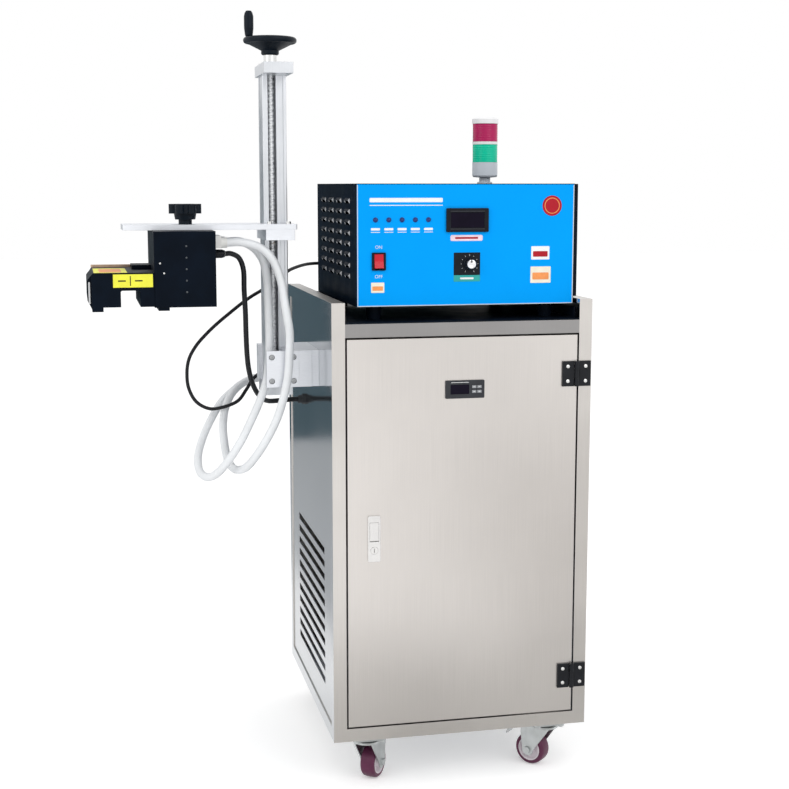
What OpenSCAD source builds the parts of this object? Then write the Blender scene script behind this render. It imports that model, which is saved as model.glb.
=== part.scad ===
// Induction cap sealer: wheeled cabinet with a power box on top, and a lift column
// on its left side that carries the sealing head. Millimetres, +Z up, front faces -Y.

/* [Cabinet] */
// Width of the cabinet frame
cab_w = 500; // [460:5:600]
// Depth of the cabinet frame
cab_d = 540; // [520:5:640]
// Height of the cabinet frame, castors apart
cab_h = 835; // [800:5:950]
// Side of the square frame tube
tube = 25; // [20:1:30]
// Wall of the frame tube
tube_wall = 1.5; // [1:0.1:3]
// How far the front and back rails lie below the tops of the posts
rail_drop = 39; // [30:1:60]
// Thickness of the side, back and floor sheets
sheet = 1.5; // [1:0.1:2.5]
// Depth of the sheets behind the outer faces of the tubes
panel_inset = 2; // [1:0.5:4]

/* [Side louvres] */
// Number of louvres on each side
louvre_count = 11; // [4:1:11]
// Height from one louvre to the next
louvre_pitch = 26; // [22:1:28]
// Length of a louvre
louvre_len = 320; // [150:5:340]
// Height of the slot of a louvre
louvre_slot = 15; // [8:1:18]
// How far a louvre's blade reaches behind the sheet
louvre_in = 9; // [4:0.5:14]
// Height of the lowest louvre above the cabinet's underside
louvre_low = 80; // [60:1:120]
// Distance of the louvres from the cabinet's front
louvre_front = 105; // [80:5:140]

/* [Door] */
// Gap between the door and the frame
door_gap = 3.5; // [2:0.5:6]
// Depth of the door's folded edge
door_return = 18; // [12:1:22]
// Height of the upper hinge's middle above the cabinet's underside
hinge_high = 694; // [600:1:720]
// Height of the lower hinge's middle above the cabinet's underside
hinge_low = 100; // [80:1:200]
// Height of a hinge
hinge_h = 48; // [36:1:60]
// Distance of the hinge axis from the cabinet's right side
hinge_inset = 30; // [27:0.5:32]
// Width of the hinge leaf on the door
hinge_leaf = 28; // [20:1:40]
// Thickness of a hinge leaf
hinge_t = 4; // [3:0.5:4]
// Width of the temperature controller
ctrl_w = 75; // [70:1:90]
// Height of the temperature controller
ctrl_h = 34; // [30:1:45]
// Middle of the controller, from the cabinet's left side
ctrl_x = 251.5; // [200:0.5:300]
// Middle of the controller above the cabinet's underside
ctrl_z = 670.5; // [500:0.5:700]
// Width of the lock plate
lock_w = 24; // [22:1:34]
// Height of the lock plate
lock_h = 88; // [80:1:110]
// Middle of the lock, from the cabinet's left side
lock_x = 78; // [65:1:90]
// Middle of the lock plate above the cabinet's underside
lock_z = 393.5; // [300:0.5:450]
// Radius of the key cylinder
key_r = 7; // [5:0.5:8]

/* [Power box] */
// Width of the power box
box_w = 420; // [380:1:420]
// Depth of the power box
box_d = 425; // [380:5:450]
// Height of the power box
box_h = 225; // [200:1:260]
// Distance of the power box from the cabinet's left side
box_left = 52; // [35:1:54]
// Distance of the power box behind the cabinet's front
box_front = 30; // [28:1:60]
// Height of the feet under the power box
box_foot = 27; // [20:1:40]
// Thickness of the cover sheet
box_sheet = 1.5; // [1:0.1:2.5]
// Thickness of the front panel
panel_t = 3; // [2:0.5:5]
// Columns of louvres on each side of the cover
vent_cols = 4; // [2:1:4]
// Rows of louvres on each side of the cover
vent_rows = 8; // [3:1:8]
// Length of a cover louvre
vent_len = 45; // [25:1:60]
// Diameter of the signal tower
tower_d = 50; // [40:1:60]

/* [Lift column] */
// Width of the column extrusion
col_w = 46; // [44:1:48]
// Depth of the column extrusion
col_d = 60; // [55:1:65]
// Length of the column extrusion
col_len = 593; // [450:1:700]
// Distance of the column's middle from the cabinet's left side
col_out = 70; // [66:1:80]
// Distance of the column's front behind the cabinet's front
col_front = 215; // [205:1:230]
// Radius of the lead screw
screw_r = 6; // [5:0.5:6]
// Width of the clamp, bearing and carriage blocks
block_w = 55; // [54:1:60]
// Thickness of the bearing and carriage blocks
block_t = 20; // [16:1:26]
// Distance of the blocks' front behind the cabinet's front
block_front = 150; // [140:1:160]
// Distance of the blocks' back behind the cabinet's front
block_back = 290; // [288:1:300]
// Height of the clamp on the cabinet
clamp_h = 70; // [60:1:80]
// Lower face of the clamp above the cabinet's underside
clamp_z = 663; // [640:1:680]
// Outer radius of the handwheel
wheel_r = 51; // [45:1:60]
// Lower face of the carriage above the cabinet's underside
carriage_z = 944; // [900:1:1000]

/* [Arm and head] */
// Length of the arm plate
arm_len = 325; // [300:1:380]
// Thickness of the arm plate
arm_t = 10; // [8:1:14]
// Depth of the arm plate beside the column
arm_d = 130; // [110:1:140]
// Width of the slot in the arm
slot_w = 13; // [12:1:16]
// Width of the head's housing
head_w = 113; // [100:1:120]
// Height of the head's housing
head_h = 138.5; // [130:0.5:150]
// Length of the head along the conveyor
head_len = 210; // [180:1:210]
// Front of the head behind the cabinet's front
head_front = 90; // [80:1:100]
// Width of the sealing tunnel
tunnel_w = 35; // [25:1:50]
// Height of the sealing tunnel
tunnel_h = 30; // [20:1:40]
// Width of the tunnel head beside the housing
shoe_w = 112; // [100:1:130]
// Height of the tunnel head
shoe_h = 62.5; // [55:0.5:75]

/* [Castors] */
// Height of a castor
castor_h = 95; // [90:1:120]
// Diameter of a castor wheel
castor_d = 63; // [50:1:75]
// Width of a castor wheel
castor_w = 30; // [20:1:34]
// Distance of the wheel's axle behind the swivel axis
castor_trail = 28; // [22:1:32]
// Distance of the swivel axes from the cabinet's left and right sides
castor_side = 70; // [50:1:90]
// Distance of the swivel axes from the cabinet's front and back
castor_end = 32; // [32:1:60]

/* [Cords] */
// Diameter of a cooling hose
hose_d = 16; // [12:1:16]
// Diameter of the head cable
thick_d = 10; // [7:1:10]
// Diameter of the cable to the power box
thin_d = 7; // [5:1:7]

/* [Fits] */
// Radial clearance of a turning shaft or pin
run_gap = 0.05; // [0.02:0.01:0.1]
// Gap between pieces that slide or swing past each other
slide_gap = 0.3; // [0.2:0.05:0.5]

/* [Hidden] */
$fn = 48;
eps = 0.01;

// Levels of the cabinet
rail_top = cab_h - rail_drop;
opening_low = tube;
opening_high = rail_top - tube;
tray_t = 2;
tray_top = rail_top + tray_t;

// Door and its fittings
door_x = tube + door_gap;
door_w = cab_w - 2 * door_x;
door_z = opening_low + door_gap;
door_h = opening_high - door_gap - door_z;
hinge_x = cab_w - hinge_inset;
hinge_pin_r = 2.5;
knuckle_r = hinge_t + 0.5;
hinge_y = -knuckle_r - slide_gap;
knuckle_half = hinge_h / 6;
ctrl_lip = 2.3;
ctrl_t = 3;
ctrl_deep = 55;
key_size = [8, 5];
key_pitch = [10, 9];
key_proud = 0.8;
key_thick = 3.4;
key_gap = 0.2;
lock_t = 4;
lock_lip = 3;
lock_deep = 22;
paddle_w = lock_w - 7;
paddle_h = 34;
paddle_axis_z = lock_z - 3;
paddle_r = lock_t / 2;
pivot_r = 1.5;
pivot_len = 1.8;
key_z = lock_z - lock_h / 2 + 22;
cam_y = tube + 2;
cam_t = 3;
cam_len = lock_x - tube / 2;

// Power box
box_z = tray_top + box_foot;
box_top = box_z + box_h;
box_back = box_front + box_d;
box_mid = box_left + box_w / 2;
panel_y = box_front - 1;
base_t = 2;
vent_pitch = [86, 20];
vent_slot = 6;
vent_out = 4;
lamp_count = 5;
lamp_pitch = 25;
lamp_r = 3.2;
lamp_x = box_left + 36;
lamp_z = box_top - 66;
meter_size = [81, 44];
meter_at = [box_left + 210, box_top - 67];
meter_proud = 4;
switch_size = [26, 33];
switch_at = [box_left + 42, box_top - 142];
switch_proud = 3;
switch_deep = 26;
rocker_size = [17, 26];
rocker_tilt = 8;
pot_at = [box_left + 215, box_top - 148];
pot_r = 12;
pot_deep = 14;
shaft_r = 3;
knob_r = 11;
knob_len = 15;
tower_at = [box_left + 301, box_front + 200];
tower_stem_r = 11;
tower_stem = 12;
tower_base = 30;
lens_h = 35;
ring_h = 5.5;
cap_h = 13;
gland_bore = 5;
gland_r = 11;
gland_len = 22;
mains_at = [box_left + box_w - 70, box_z + 35];
thin_gland_at = [100, 880];

// Lift column, handwheel and carriage
col_x = -col_out;
col_z = clamp_z - 2;
col_top = col_z + col_len;
screw_x = col_x - 5;
screw_y = col_front + 16;
channel_w = 16;
channel_d = 33;
jaw_y = col_front + col_d;
plate_t = 12;
clamp_w = 63;
clamp_left = -100;
flange_t = 14;
flange_back = 3;
clamp_mid = clamp_z + clamp_h / 2;
block_x = col_x - block_w / 2;
top_block_t = block_t + 0.5;
top_z = col_top + top_block_t;
collar_r = 12.5;
collar_h = 18.5;
hub_z = top_z + collar_h;
hub_r = 17;
rim_r = 6;
rim_z = hub_z + 27;
grip_at = 40;
grip_r = 9;
grip_len = 48;
grip_pin_r = 4;
grip_z = rim_z + rim_r + slide_gap;
nut_w = channel_w - 2 * slide_gap;
nut_back = 9;

// Arm and head
arm_z = carriage_z + block_t;
arm_right = col_x + 32;
arm_left = arm_right - arm_len;
slot_y = block_front + 32;
slot_left = arm_left + 20;
slot_right = block_x - 25;
head_top = arm_z - slide_gap;
head_z = head_top - head_h;
head_x = -311;
shoe_x = head_x - shoe_w;
shoe_z = head_z + 2;
tunnel_x = shoe_x + 51.5;
foot_h = 8;
foot_w = 20;
cheek = 8;
cheek_back = 12;
stud_r = 5;
stud_deep = 25;
knob_x = head_x + 65;
manifold_w = 28;
hose_a_y = 165;
hose_b_y = 205;
manifold_z = 940;
cable_y = 185;
cable_z = 918;
cable_gland_w = 26;

// Castors: left and right, front and rear; the angle is the trailing direction
castor_left = castor_side;
castor_right = cab_w - castor_side;
castor_near = castor_end;
castor_far = cab_d - castor_end;
trail_fl = 54;
trail_fr = 132;
trail_rl = 80;
trail_rr = 100;
plate_side = 64;
castor_plate_t = 3;
race_r = 24;
race_h = 6;
king_r = 5;
fork_t = 4;
fork_leg = 2.5;
fork_top_z = -castor_plate_t - race_h - slide_gap;
axle_r = 4;
axle_z = -castor_h + castor_d / 2;
hub_half = castor_w / 2 + 2;
leg_in = hub_half + slide_gap;
brake_pin = [36, -21];
brake_pin_r = 2.5;
brake_barrel = 4.5;
brake_w = 22;

// Inside the cabinet
fan_at = [265, 205];
fan_x = 132;
fan_r = 90;
fan_hub_r = 22;
fan_shaft_r = 4;
coil_x = 55;
coil_t = 52;
coil_size = [300, 290];
coil_low = 60;
tank_at = [270, 290];
tank_size = [170, 190, 250];
pump_at = [360, 160];
compressor_at = [215, 420];
compressor_r = 55;

// Bulkhead fittings on the left panel: distance behind the front, and height
fit_hose_a = [390, 650];
fit_hose_b = [430, 650];
fit_thick = [330, 612];
fit_thin = [345, 650];
fit_out = 14;
fit_wall = 3;

// Routes of the cords, from the cabinet's front left lower corner
hose_a_path = [
  [-170, 165, 940], [-140, 165, 940], [-106, 165, 929], [-83, 163, 905], [-69, 158, 866],
  [-62, 147, 813], [-57, 135, 770], [-58, 134, 728], [-61, 135, 686], [-70, 134, 645], [-83, 135, 605],
  [-102, 133, 568], [-124, 141, 532], [-142, 167, 505], [-158, 205, 496], [-167, 245, 507],
  [-170, 279, 535], [-170, 302, 570], [-161, 325, 604], [-141, 352, 631], [-111, 375, 647],
  [-71, 387, 652], [-30, 390, 650], [-14, 390, 650]
];
hose_b_path = [
  [-170, 205, 940], [-140, 205, 940], [-114, 205, 927], [-97, 203, 902], [-90, 200, 862],
  [-89, 193, 802], [-89, 187, 755], [-91, 184, 713], [-97, 180, 671], [-111, 179, 632],
  [-129, 176, 594], [-149, 168, 558], [-173, 168, 522], [-196, 189, 491], [-213, 220, 480],
  [-223, 259, 487], [-221, 297, 512], [-207, 323, 546], [-188, 338, 580], [-167, 361, 606],
  [-142, 390, 623], [-111, 415, 640], [-71, 426, 650], [-30, 430, 650], [-14, 430, 650]
];
thick_path = [
  [-172, 185, 918], [-160, 185, 918], [-145, 186, 909], [-137, 187, 886], [-136, 190, 848],
  [-134, 192, 805], [-133, 195, 760], [-131, 200, 720], [-127, 207, 690], [-119, 221, 663],
  [-107, 240, 640], [-92, 267, 624], [-76, 297, 615], [-50, 322, 612], [-26, 330, 612], [-12, 330, 612]
];
thin_path = [
  [-12, 345, 650], [-24, 345, 650], [-45, 345, 655], [-79, 337, 669], [-103, 325, 660],
  [-121, 313, 637], [-139, 306, 616], [-167, 305, 605], [-195, 312, 601], [-221, 315, 615],
  [-236, 315, 643], [-239, 316, 674], [-234, 317, 703], [-219, 319, 729], [-198, 321, 752],
  [-176, 323, 772], [-152, 326, 791], [-128, 331, 809], [-104, 342, 824], [-81, 358, 835],
  [-61, 378, 846], [-43, 401, 856], [-25, 424, 864], [-8, 448, 871], [12, 472, 876], [33, 496, 879],
  [51, 509, 880], [72, 515, 880], [92, 507, 880], [100, 487, 880], [100, 477, 880]
];

// Shared shapes

// Moves from the cabinet's front left lower corner to the part's own frame
module in_cabinet() {
  translate([-cab_w / 2, -cab_d / 2, castor_h])
    children();
}

// Box between two corners
module span(a, b) {
  translate(a)
    cube(b - a);
}

// Cylinder along +X or +Y from a point
module rod_x(p, r, len) {
  translate(p)
    rotate([0, 90, 0])
      cylinder(r = r, h = len);
}

module rod_y(p, r, len) {
  translate(p)
    rotate([-90, 0, 0])
      cylinder(r = r, h = len);
}

// Rectangle with round corners, its lower left corner at the origin
module round_rect(w, h, r) {
  translate([r, 0])
    square([w - 2 * r, h]);
  translate([0, r])
    square([w, h - 2 * r]);
  for (x = [r, w - r], y = [r, h - r])
    translate([x, y])
      circle(r);
}

// Plate in the XZ plane with round corners, from y = 0 backwards
module round_plate(w, h, r, t) {
  translate([0, t, 0])
    rotate([90, 0, 0])
      linear_extrude(t)
        round_rect(w, h, r);
}

// Pressed louvre on a sheet that faces -X, its slot's lower front corner at the origin
module louvre_hood(len, slot, out, t) {
  translate([0, len, 0])
    rotate([90, 0, 0])
      linear_extrude(len)
        polygon([[0, slot + out], [-out, slot], [-out, slot - t], [0, slot + out - 1.6 * t]]);
  for (y = [0, len - t])
    translate([0, y + t, 0])
      rotate([90, 0, 0])
        linear_extrude(t)
          polygon([[0, 0], [0, slot + out], [-out, slot]]);
}

// Direction between two points, and rings of a swept tube
function unit(v) = v / norm(v);
function heading(p, i) = unit(p[min(i + 1, len(p) - 1)] - p[max(i - 1, 0)]);
function ring(p, i, r, sides) =
  let (t = heading(p, i), u = unit(cross(t, [0.15, 1, 0.1])), w = cross(t, u))
  [for (k = [0:sides - 1]) p[i] + r * (cos(360 * k / sides) * u + sin(360 * k / sides) * w)];

module swept_tube(p, d, sides) {
  n = len(p);
  points = [for (i = [0:n - 1]) each ring(p, i, d / 2, sides)];
  walls = [
    for (i = [0:n - 2], k = [0:sides - 1])
      let (a = i * sides + k, b = i * sides + (k + 1) % sides)
      each [[a, a + sides, b], [b, a + sides, b + sides]]
  ];
  first = [for (k = [0:sides - 1]) k];
  last = [for (k = [sides - 1:-1:0]) (n - 1) * sides + k];
  polyhedron(points, concat(walls, [first], [last]), convexity = 10);
}

// Cabinet

// One straight tube; grow lengthens it along its own axis
module frame_bars(shrink, grow) {
  s = shrink;
  low = grow > 0 ? -1 : 0;
  for (x = [0, cab_w - tube], y = [0, cab_d - tube])
    span([x + s, y + s, low], [x + tube - s, y + tube - s, cab_h - s]);
  for (y = [0, cab_d - tube], z = [0, rail_top - tube])
    span([tube - grow, y + s, z + s], [cab_w - tube + grow, y + tube - s, z + tube - s]);
  for (x = [0, cab_w - tube], z = [0, cab_h - tube])
    span([x + s, tube - grow, z + s], [x + tube - s, cab_d - tube + grow, z + tube - s]);
}

module cabinet_frame() {
  color("silver")
    in_cabinet() {
      difference() {
        frame_bars(0, 0);
        frame_bars(tube_wall, tube / 2);
      }
      span([panel_inset + sheet, tube, clamp_mid - tube / 2], [tube, cab_d - tube, clamp_mid + tube / 2]);
    }
}

// Blade that is pressed inwards from the upper edge of a slot
module louvre_blade() {
  drop = louvre_in * 2 / 3;
  translate([panel_inset, louvre_len, 0])
    rotate([90, 0, 0])
      linear_extrude(louvre_len)
        polygon([
          [0, louvre_slot + eps], [sheet, louvre_slot + eps], [sheet + louvre_in, louvre_slot - drop],
          [sheet + louvre_in, louvre_slot - drop - sheet], [0, louvre_slot - sheet]
        ]);
}

// Louvred sheet of the left side, without its fittings' holes
module louvred_sheet() {
  difference() {
    span([panel_inset, tube, tube], [panel_inset + sheet, cab_d - tube, cab_h - tube]);
    for (i = [0:louvre_count - 1])
      translate([0, louvre_front, louvre_low + i * louvre_pitch])
        span([0, 0, 0], [panel_inset + sheet + 1, louvre_len, louvre_slot]);
  }
  for (i = [0:louvre_count - 1])
    translate([0, louvre_front, louvre_low + i * louvre_pitch])
      louvre_blade();
}

module left_side_panel() {
  color("lightgray")
    in_cabinet()
      difference() {
        louvred_sheet();
        for (f = [[fit_hose_a, hose_d], [fit_hose_b, hose_d], [fit_thick, thick_d], [fit_thin, thin_d]])
          rod_x([0, f[0][0], f[0][1]], f[1] / 2 + run_gap, tube);
      }
}

module right_side_panel() {
  color("lightgray")
    in_cabinet()
      translate([cab_w, 0, 0])
        mirror([1, 0, 0])
          louvred_sheet();
}

module back_panel() {
  y = cab_d - panel_inset - sheet;
  color("lightgray")
    in_cabinet()
      span([tube, y, tube], [cab_w - tube, y + sheet, opening_high]);
}

module floor_panel() {
  color("lightgray")
    in_cabinet()
      span([tube, tube, tube - sheet], [cab_w - tube, cab_d - tube, tube]);
}

module top_tray() {
  gap = 0.5;
  wall = 20;
  color("black")
    in_cabinet() {
      span([tube + gap, gap, rail_top], [cab_w - tube - gap, cab_d - gap, tray_top]);
      for (x = [tube + gap, cab_w - tube - gap - tray_t])
        span([x, tube + gap, rail_top], [x + tray_t, cab_d - gap, tray_top + wall]);
      span([tube + gap, cab_d - gap - tray_t, rail_top], [cab_w - tube - gap, cab_d - gap, tray_top + wall]);
    }
}

// Cooling unit inside the cabinet

module water_tank() {
  neck_r = 25;
  color("white")
    in_cabinet()
      translate([tank_at[0], tank_at[1], tube]) {
        linear_extrude(tank_size[2])
          round_rect(tank_size[0], tank_size[1], 12);
        translate([tank_size[0] / 2, tank_size[1] / 2, tank_size[2]]) {
          cylinder(r = neck_r, h = 12);
          translate([0, 0, 12])
            cylinder(r = neck_r + 5, h = 14);
        }
      }
}

module water_pump() {
  motor_r = 38;
  volute_r = 46;
  axis_z = volute_r + 6;
  color("steelblue")
    in_cabinet()
      translate([pump_at[0], pump_at[1], tube]) {
        rod_y([0, -60, axis_z], motor_r, 90);
        rod_y([0, 30, axis_z], volute_r, 34);
        rod_y([0, 64, axis_z], 12, 30);
        translate([0, 47, axis_z])
          cylinder(r = 12, h = volute_r + 30);
        span([-35, -50, 0], [35, 60, axis_z - 20]);
      }
}

module compressor() {
  r = compressor_r;
  color("black")
    in_cabinet()
      translate([compressor_at[0], compressor_at[1], tube]) {
        translate([0, 0, 12])
          rotate_extrude()
            polygon(concat(
              [[0, 0], [r - 6, 0], [r, 6]],
              [for (a = [0:15:90]) [r * cos(a), 110 + 36 * sin(a)]]
            ));
        span([-r, -r, 6], [r, r, 14]);
        for (x = [-r + 10, r - 10], y = [-r + 10, r - 10])
          translate([x, y, 0])
            cylinder(r = 8, h = 8);
        translate([0, -r - 26, 60])
          rotate([-90, 0, 0])
            cylinder(r = 5, h = 40);
      }
}

// Finned coil with the fan's shroud, and the fan motor on its cross bar
module condenser() {
  y0 = fan_at[0] - coil_size[0] / 2;
  y1 = fan_at[0] + coil_size[0] / 2;
  z1 = coil_low + coil_size[1];
  x1 = coil_x + coil_t;
  fin_pitch = 12;
  fin_t = 4;
  motor_x = fan_x + 24;
  ring_t = 2;
  color("gainsboro")
    in_cabinet() {
      for (y = [y0:fin_pitch:y1 - fin_t])
        span([coil_x + 6, y, coil_low + 10], [x1 - 4, y + fin_t, z1 - 10]);
      for (z = [coil_low, z1 - 12])
        span([coil_x, y0 - 4, z], [x1, y1 + 4, z + 12]);
      for (y = [y0 - 6, y1])
        span([coil_x, y, tube], [x1, y + 6, z1]);
      for (k = [1:7])
        rod_y([coil_x + coil_t / 2, y0, coil_low + k * coil_size[1] / 8], 5, coil_size[0]);
      difference() {
        span([x1, y0 - 4, coil_low], [x1 + ring_t, y1 + 4, z1]);
        rod_x([x1 - 1, fan_at[0], fan_at[1]], fan_r + 6, ring_t + 2);
      }
      difference() {
        rod_x([x1, fan_at[0], fan_at[1]], fan_r + 6 + ring_t, 40);
        rod_x([x1 - 1, fan_at[0], fan_at[1]], fan_r + 6, 42);
      }
      span([x1 + 36, y0 - 4, fan_at[1] - 8], [x1 + 39, y1 + 4, fan_at[1] + 8]);
      for (y = [y0 - 4, y1 + 1])
        span([x1 + ring_t, y, fan_at[1] - 8], [x1 + 39, y + 3, fan_at[1] + 8]);
      rod_x([x1 + 39, fan_at[0], fan_at[1]], 30, 46);
      rod_x([fan_x - 12, fan_at[0], fan_at[1]], fan_shaft_r, x1 + 40 - fan_x + 12);
    }
}

module fan_rotor() {
  blades = 5;
  depth = 14;
  color("dimgray")
    in_cabinet()
      translate([fan_x - depth, fan_at[0], fan_at[1]])
        rotate([0, 90, 0])
          difference() {
            union() {
              cylinder(r = fan_hub_r, h = depth);
              for (k = [0:blades - 1])
                rotate([0, 0, k * 360 / blades])
                  intersection() {
                    cylinder(r = fan_r, h = depth);
                    translate([fan_hub_r - 4, -30, depth / 2])
                      rotate([12, 0, 0])
                        translate([0, 0, -1])
                          cube([fan_r, 60, 2]);
                  }
            }
            translate([0, 0, -1])
              cylinder(r = fan_shaft_r + run_gap, h = depth + 2);
          }
}

// Castors

module at_castor(x, y, angle) {
  in_cabinet()
    translate([x, y, 0])
      rotate([0, 0, angle])
        children();
}

module castor_plates() {
  color("silver")
    for (x = [castor_left, castor_right], y = [castor_near, castor_far])
      in_cabinet()
        translate([x, y, 0]) {
          translate([-plate_side / 2, -plate_side / 2, -castor_plate_t])
            linear_extrude(castor_plate_t)
              round_rect(plate_side, plate_side, 8);
          translate([0, 0, -castor_plate_t - race_h])
            cylinder(r1 = race_r - 3, r2 = race_r, h = race_h + eps);
          translate([0, 0, fork_top_z - fork_t - slide_gap - 3])
            cylinder(r = king_r, h = fork_t + race_h);
          translate([0, 0, fork_top_z - fork_t - slide_gap - 3])
            cylinder(r = king_r + 4, h = 3);
        }
}

// One pressed leg of a fork, in the XZ plane
module fork_leg_shape() {
  top = fork_top_z - fork_t / 2;
  polygon([
    [-20, top], [brake_pin[0] + 8, top], [brake_pin[0] + 8, brake_pin[1] - 8],
    [castor_trail + 12, axle_z], [castor_trail - 12, axle_z]
  ]);
  translate([castor_trail, axle_z])
    circle(12);
}

module fork(x, y, angle) {
  color("silver")
    at_castor(x, y, angle) {
      difference() {
        union() {
          translate([0, 0, fork_top_z - fork_t])
            cylinder(r = race_r + 2, h = fork_t);
          span([0, -leg_in, fork_top_z - fork_t], [brake_pin[0] - 6, leg_in, fork_top_z]);
        }
        translate([0, 0, fork_top_z - fork_t - 1])
          cylinder(r = king_r + run_gap, h = fork_t + 2);
      }
      for (y = [leg_in + fork_leg, -leg_in])
        translate([0, y, 0])
          rotate([90, 0, 0])
            linear_extrude(fork_leg)
              fork_leg_shape();
      rod_y([castor_trail, -leg_in - fork_leg, axle_z], axle_r, 2 * (leg_in + fork_leg));
      for (y = [-leg_in - fork_leg - 4, leg_in + fork_leg])
        translate([castor_trail, y, axle_z])
          rotate([-90, 0, 0])
            cylinder(r = 7, h = 4, $fn = 6);
      rod_y([brake_pin[0], -leg_in - fork_leg, brake_pin[1]], brake_pin_r, 2 * (leg_in + fork_leg));
    }
}

module fork_fl() {
  fork(castor_left, castor_near, trail_fl);
}

module fork_fr() {
  fork(castor_right, castor_near, trail_fr);
}

module fork_rl() {
  fork(castor_left, castor_far, trail_rl);
}

module fork_rr() {
  fork(castor_right, castor_far, trail_rr);
}

// Moulded tread on a dished rim, turned about the axle
module castor_wheel(x, y, angle) {
  r = castor_d / 2;
  h = castor_w / 2;
  rim = r - 9;
  web = 4;
  color("maroon")
    at_castor(x, y, angle)
      translate([castor_trail, 0, axle_z])
        rotate([90, 0, 0])
          rotate_extrude()
            polygon([
              [axle_r + run_gap, -hub_half], [11, -hub_half], [12, -web], [rim - 3, -web],
              [rim, -h + 1], [r - 4, -h], [r - 1.2, -h + 2.5], [r, -h + 6],
              [r, h - 6], [r - 1.2, h - 2.5], [r - 4, h], [rim, h - 1],
              [rim - 3, web], [12, web], [11, hub_half], [axle_r + run_gap, hub_half]
            ]);
}

module wheel_fl() {
  castor_wheel(castor_left, castor_near, trail_fl);
}

module wheel_fr() {
  castor_wheel(castor_right, castor_near, trail_fr);
}

module wheel_rl() {
  castor_wheel(castor_left, castor_far, trail_rl);
}

module wheel_rr() {
  castor_wheel(castor_right, castor_far, trail_rr);
}

// Foot pedal that presses on the tread of the front right wheel
module brake_lever() {
  p = brake_pin;
  toe_r = 3;
  toe_angle = 20;
  toe_reach = 8.8;
  toe_at = [p[0] + toe_reach * sin(toe_angle), 1 - brake_w / 2, p[1] - toe_reach * cos(toe_angle)];
  color("silver")
    at_castor(castor_right, castor_near, trail_fr)
      difference() {
        union() {
          rod_y([p[0], -brake_w / 2, p[1]], brake_barrel, brake_w);
          translate([0, brake_w / 2, 0])
            rotate([90, 0, 0])
              linear_extrude(brake_w)
                polygon([
                  [p[0], p[1] + 4], [p[0] + 34, p[1] + 5], [p[0] + 48, p[1] - 22],
                  [p[0] + 45.5, p[1] - 23], [p[0] + 32, p[1] + 2.5], [p[0], p[1] + 1.5]
                ]);
          rod_y(toe_at, toe_r, brake_w - 2);
          translate([p[0], -brake_w / 2 + 2, p[1]])
            rotate([0, -toe_angle, 0])
              translate([-toe_r + 0.6, 0, -toe_reach])
                cube([2 * toe_r - 1.2, brake_w - 4, toe_reach]);
        }
        rod_y([p[0], -brake_w, p[1]], brake_pin_r + run_gap, 2 * brake_w);
      }
}

// Hinges, seen from the front: leaf, knuckles and pin about an upright axis

module frame_hinges() {
  leaf_x = knuckle_r + 1;
  color("black")
    for (z = [hinge_low, hinge_high])
      in_cabinet()
        translate([hinge_x, 0, z]) {
          span([leaf_x, -hinge_t, -hinge_h / 2], [hinge_inset - 2, 0, hinge_h / 2]);
          for (s = [[-hinge_h / 2, -knuckle_half - slide_gap], [knuckle_half + slide_gap, hinge_h / 2]]) {
            translate([0, hinge_y, s[0]])
              cylinder(r = knuckle_r, h = s[1] - s[0]);
            span([0, -hinge_t, s[0]], [leaf_x, -slide_gap, s[1]]);
          }
          translate([0, hinge_y, -hinge_h / 2])
            cylinder(r = hinge_pin_r, h = hinge_h);
        }
}

module door_hinges() {
  leaf_x = knuckle_r + 1;
  color("black")
    for (z = [hinge_low, hinge_high])
      in_cabinet()
        translate([hinge_x, 0, z])
          difference() {
            union() {
              span([-hinge_leaf, -hinge_t, -hinge_h / 2], [-leaf_x, 0, hinge_h / 2]);
              translate([0, hinge_y, -knuckle_half])
                cylinder(r = knuckle_r, h = 2 * knuckle_half);
              span([-leaf_x, -hinge_t, -knuckle_half], [0, -slide_gap, knuckle_half]);
            }
            translate([0, hinge_y, -hinge_h])
              cylinder(r = hinge_pin_r + run_gap, h = 2 * hinge_h);
          }
}

// Door

module door() {
  lip = ctrl_lip - slide_gap;
  color("lightgray")
    in_cabinet()
      difference() {
        span([door_x, 0, door_z], [door_x + door_w, door_return, door_z + door_h]);
        span(
          [door_x + sheet, sheet, door_z + sheet],
          [door_x + door_w - sheet, door_return + 1, door_z + door_h - sheet]
        );
        span(
          [ctrl_x - ctrl_w / 2 + lip, -1, ctrl_z - ctrl_h / 2 + lip],
          [ctrl_x + ctrl_w / 2 - lip, door_return, ctrl_z + ctrl_h / 2 - lip]
        );
        span(
          [lock_x - lock_w / 2 + lock_lip - slide_gap, -1, lock_z - lock_h / 2 + lock_lip - slide_gap],
          [lock_x + lock_w / 2 - lock_lip + slide_gap, door_return, lock_z + lock_h / 2 - lock_lip + slide_gap]
        );
      }
}

// Places of the four keys, from the controller's middle
function key_place(col, row) =
  [ctrl_x + ctrl_w / 2 - 20 + col * key_pitch[0], ctrl_z + (row - 0.5) * key_pitch[1]];

module controller() {
  window = [36, 18];
  window_deep = 1.2;
  color("dimgray")
    in_cabinet()
      difference() {
        union() {
          translate([ctrl_x - ctrl_w / 2, -ctrl_t, ctrl_z - ctrl_h / 2])
            round_plate(ctrl_w, ctrl_h, 2, ctrl_t);
          span(
            [ctrl_x - ctrl_w / 2 + ctrl_lip, 0, ctrl_z - ctrl_h / 2 + ctrl_lip],
            [ctrl_x + ctrl_w / 2 - ctrl_lip, ctrl_deep, ctrl_z + ctrl_h / 2 - ctrl_lip]
          );
        }
        span(
          [ctrl_x - 28, -ctrl_t - 1, ctrl_z - window[1] / 2],
          [ctrl_x - 28 + window[0], -ctrl_t + window_deep, ctrl_z + window[1] / 2]
        );
        for (col = [0, 1], row = [0, 1])
          key_block(key_place(col, row), key_gap, -ctrl_t - 1, 1.2);
      }
}

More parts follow.
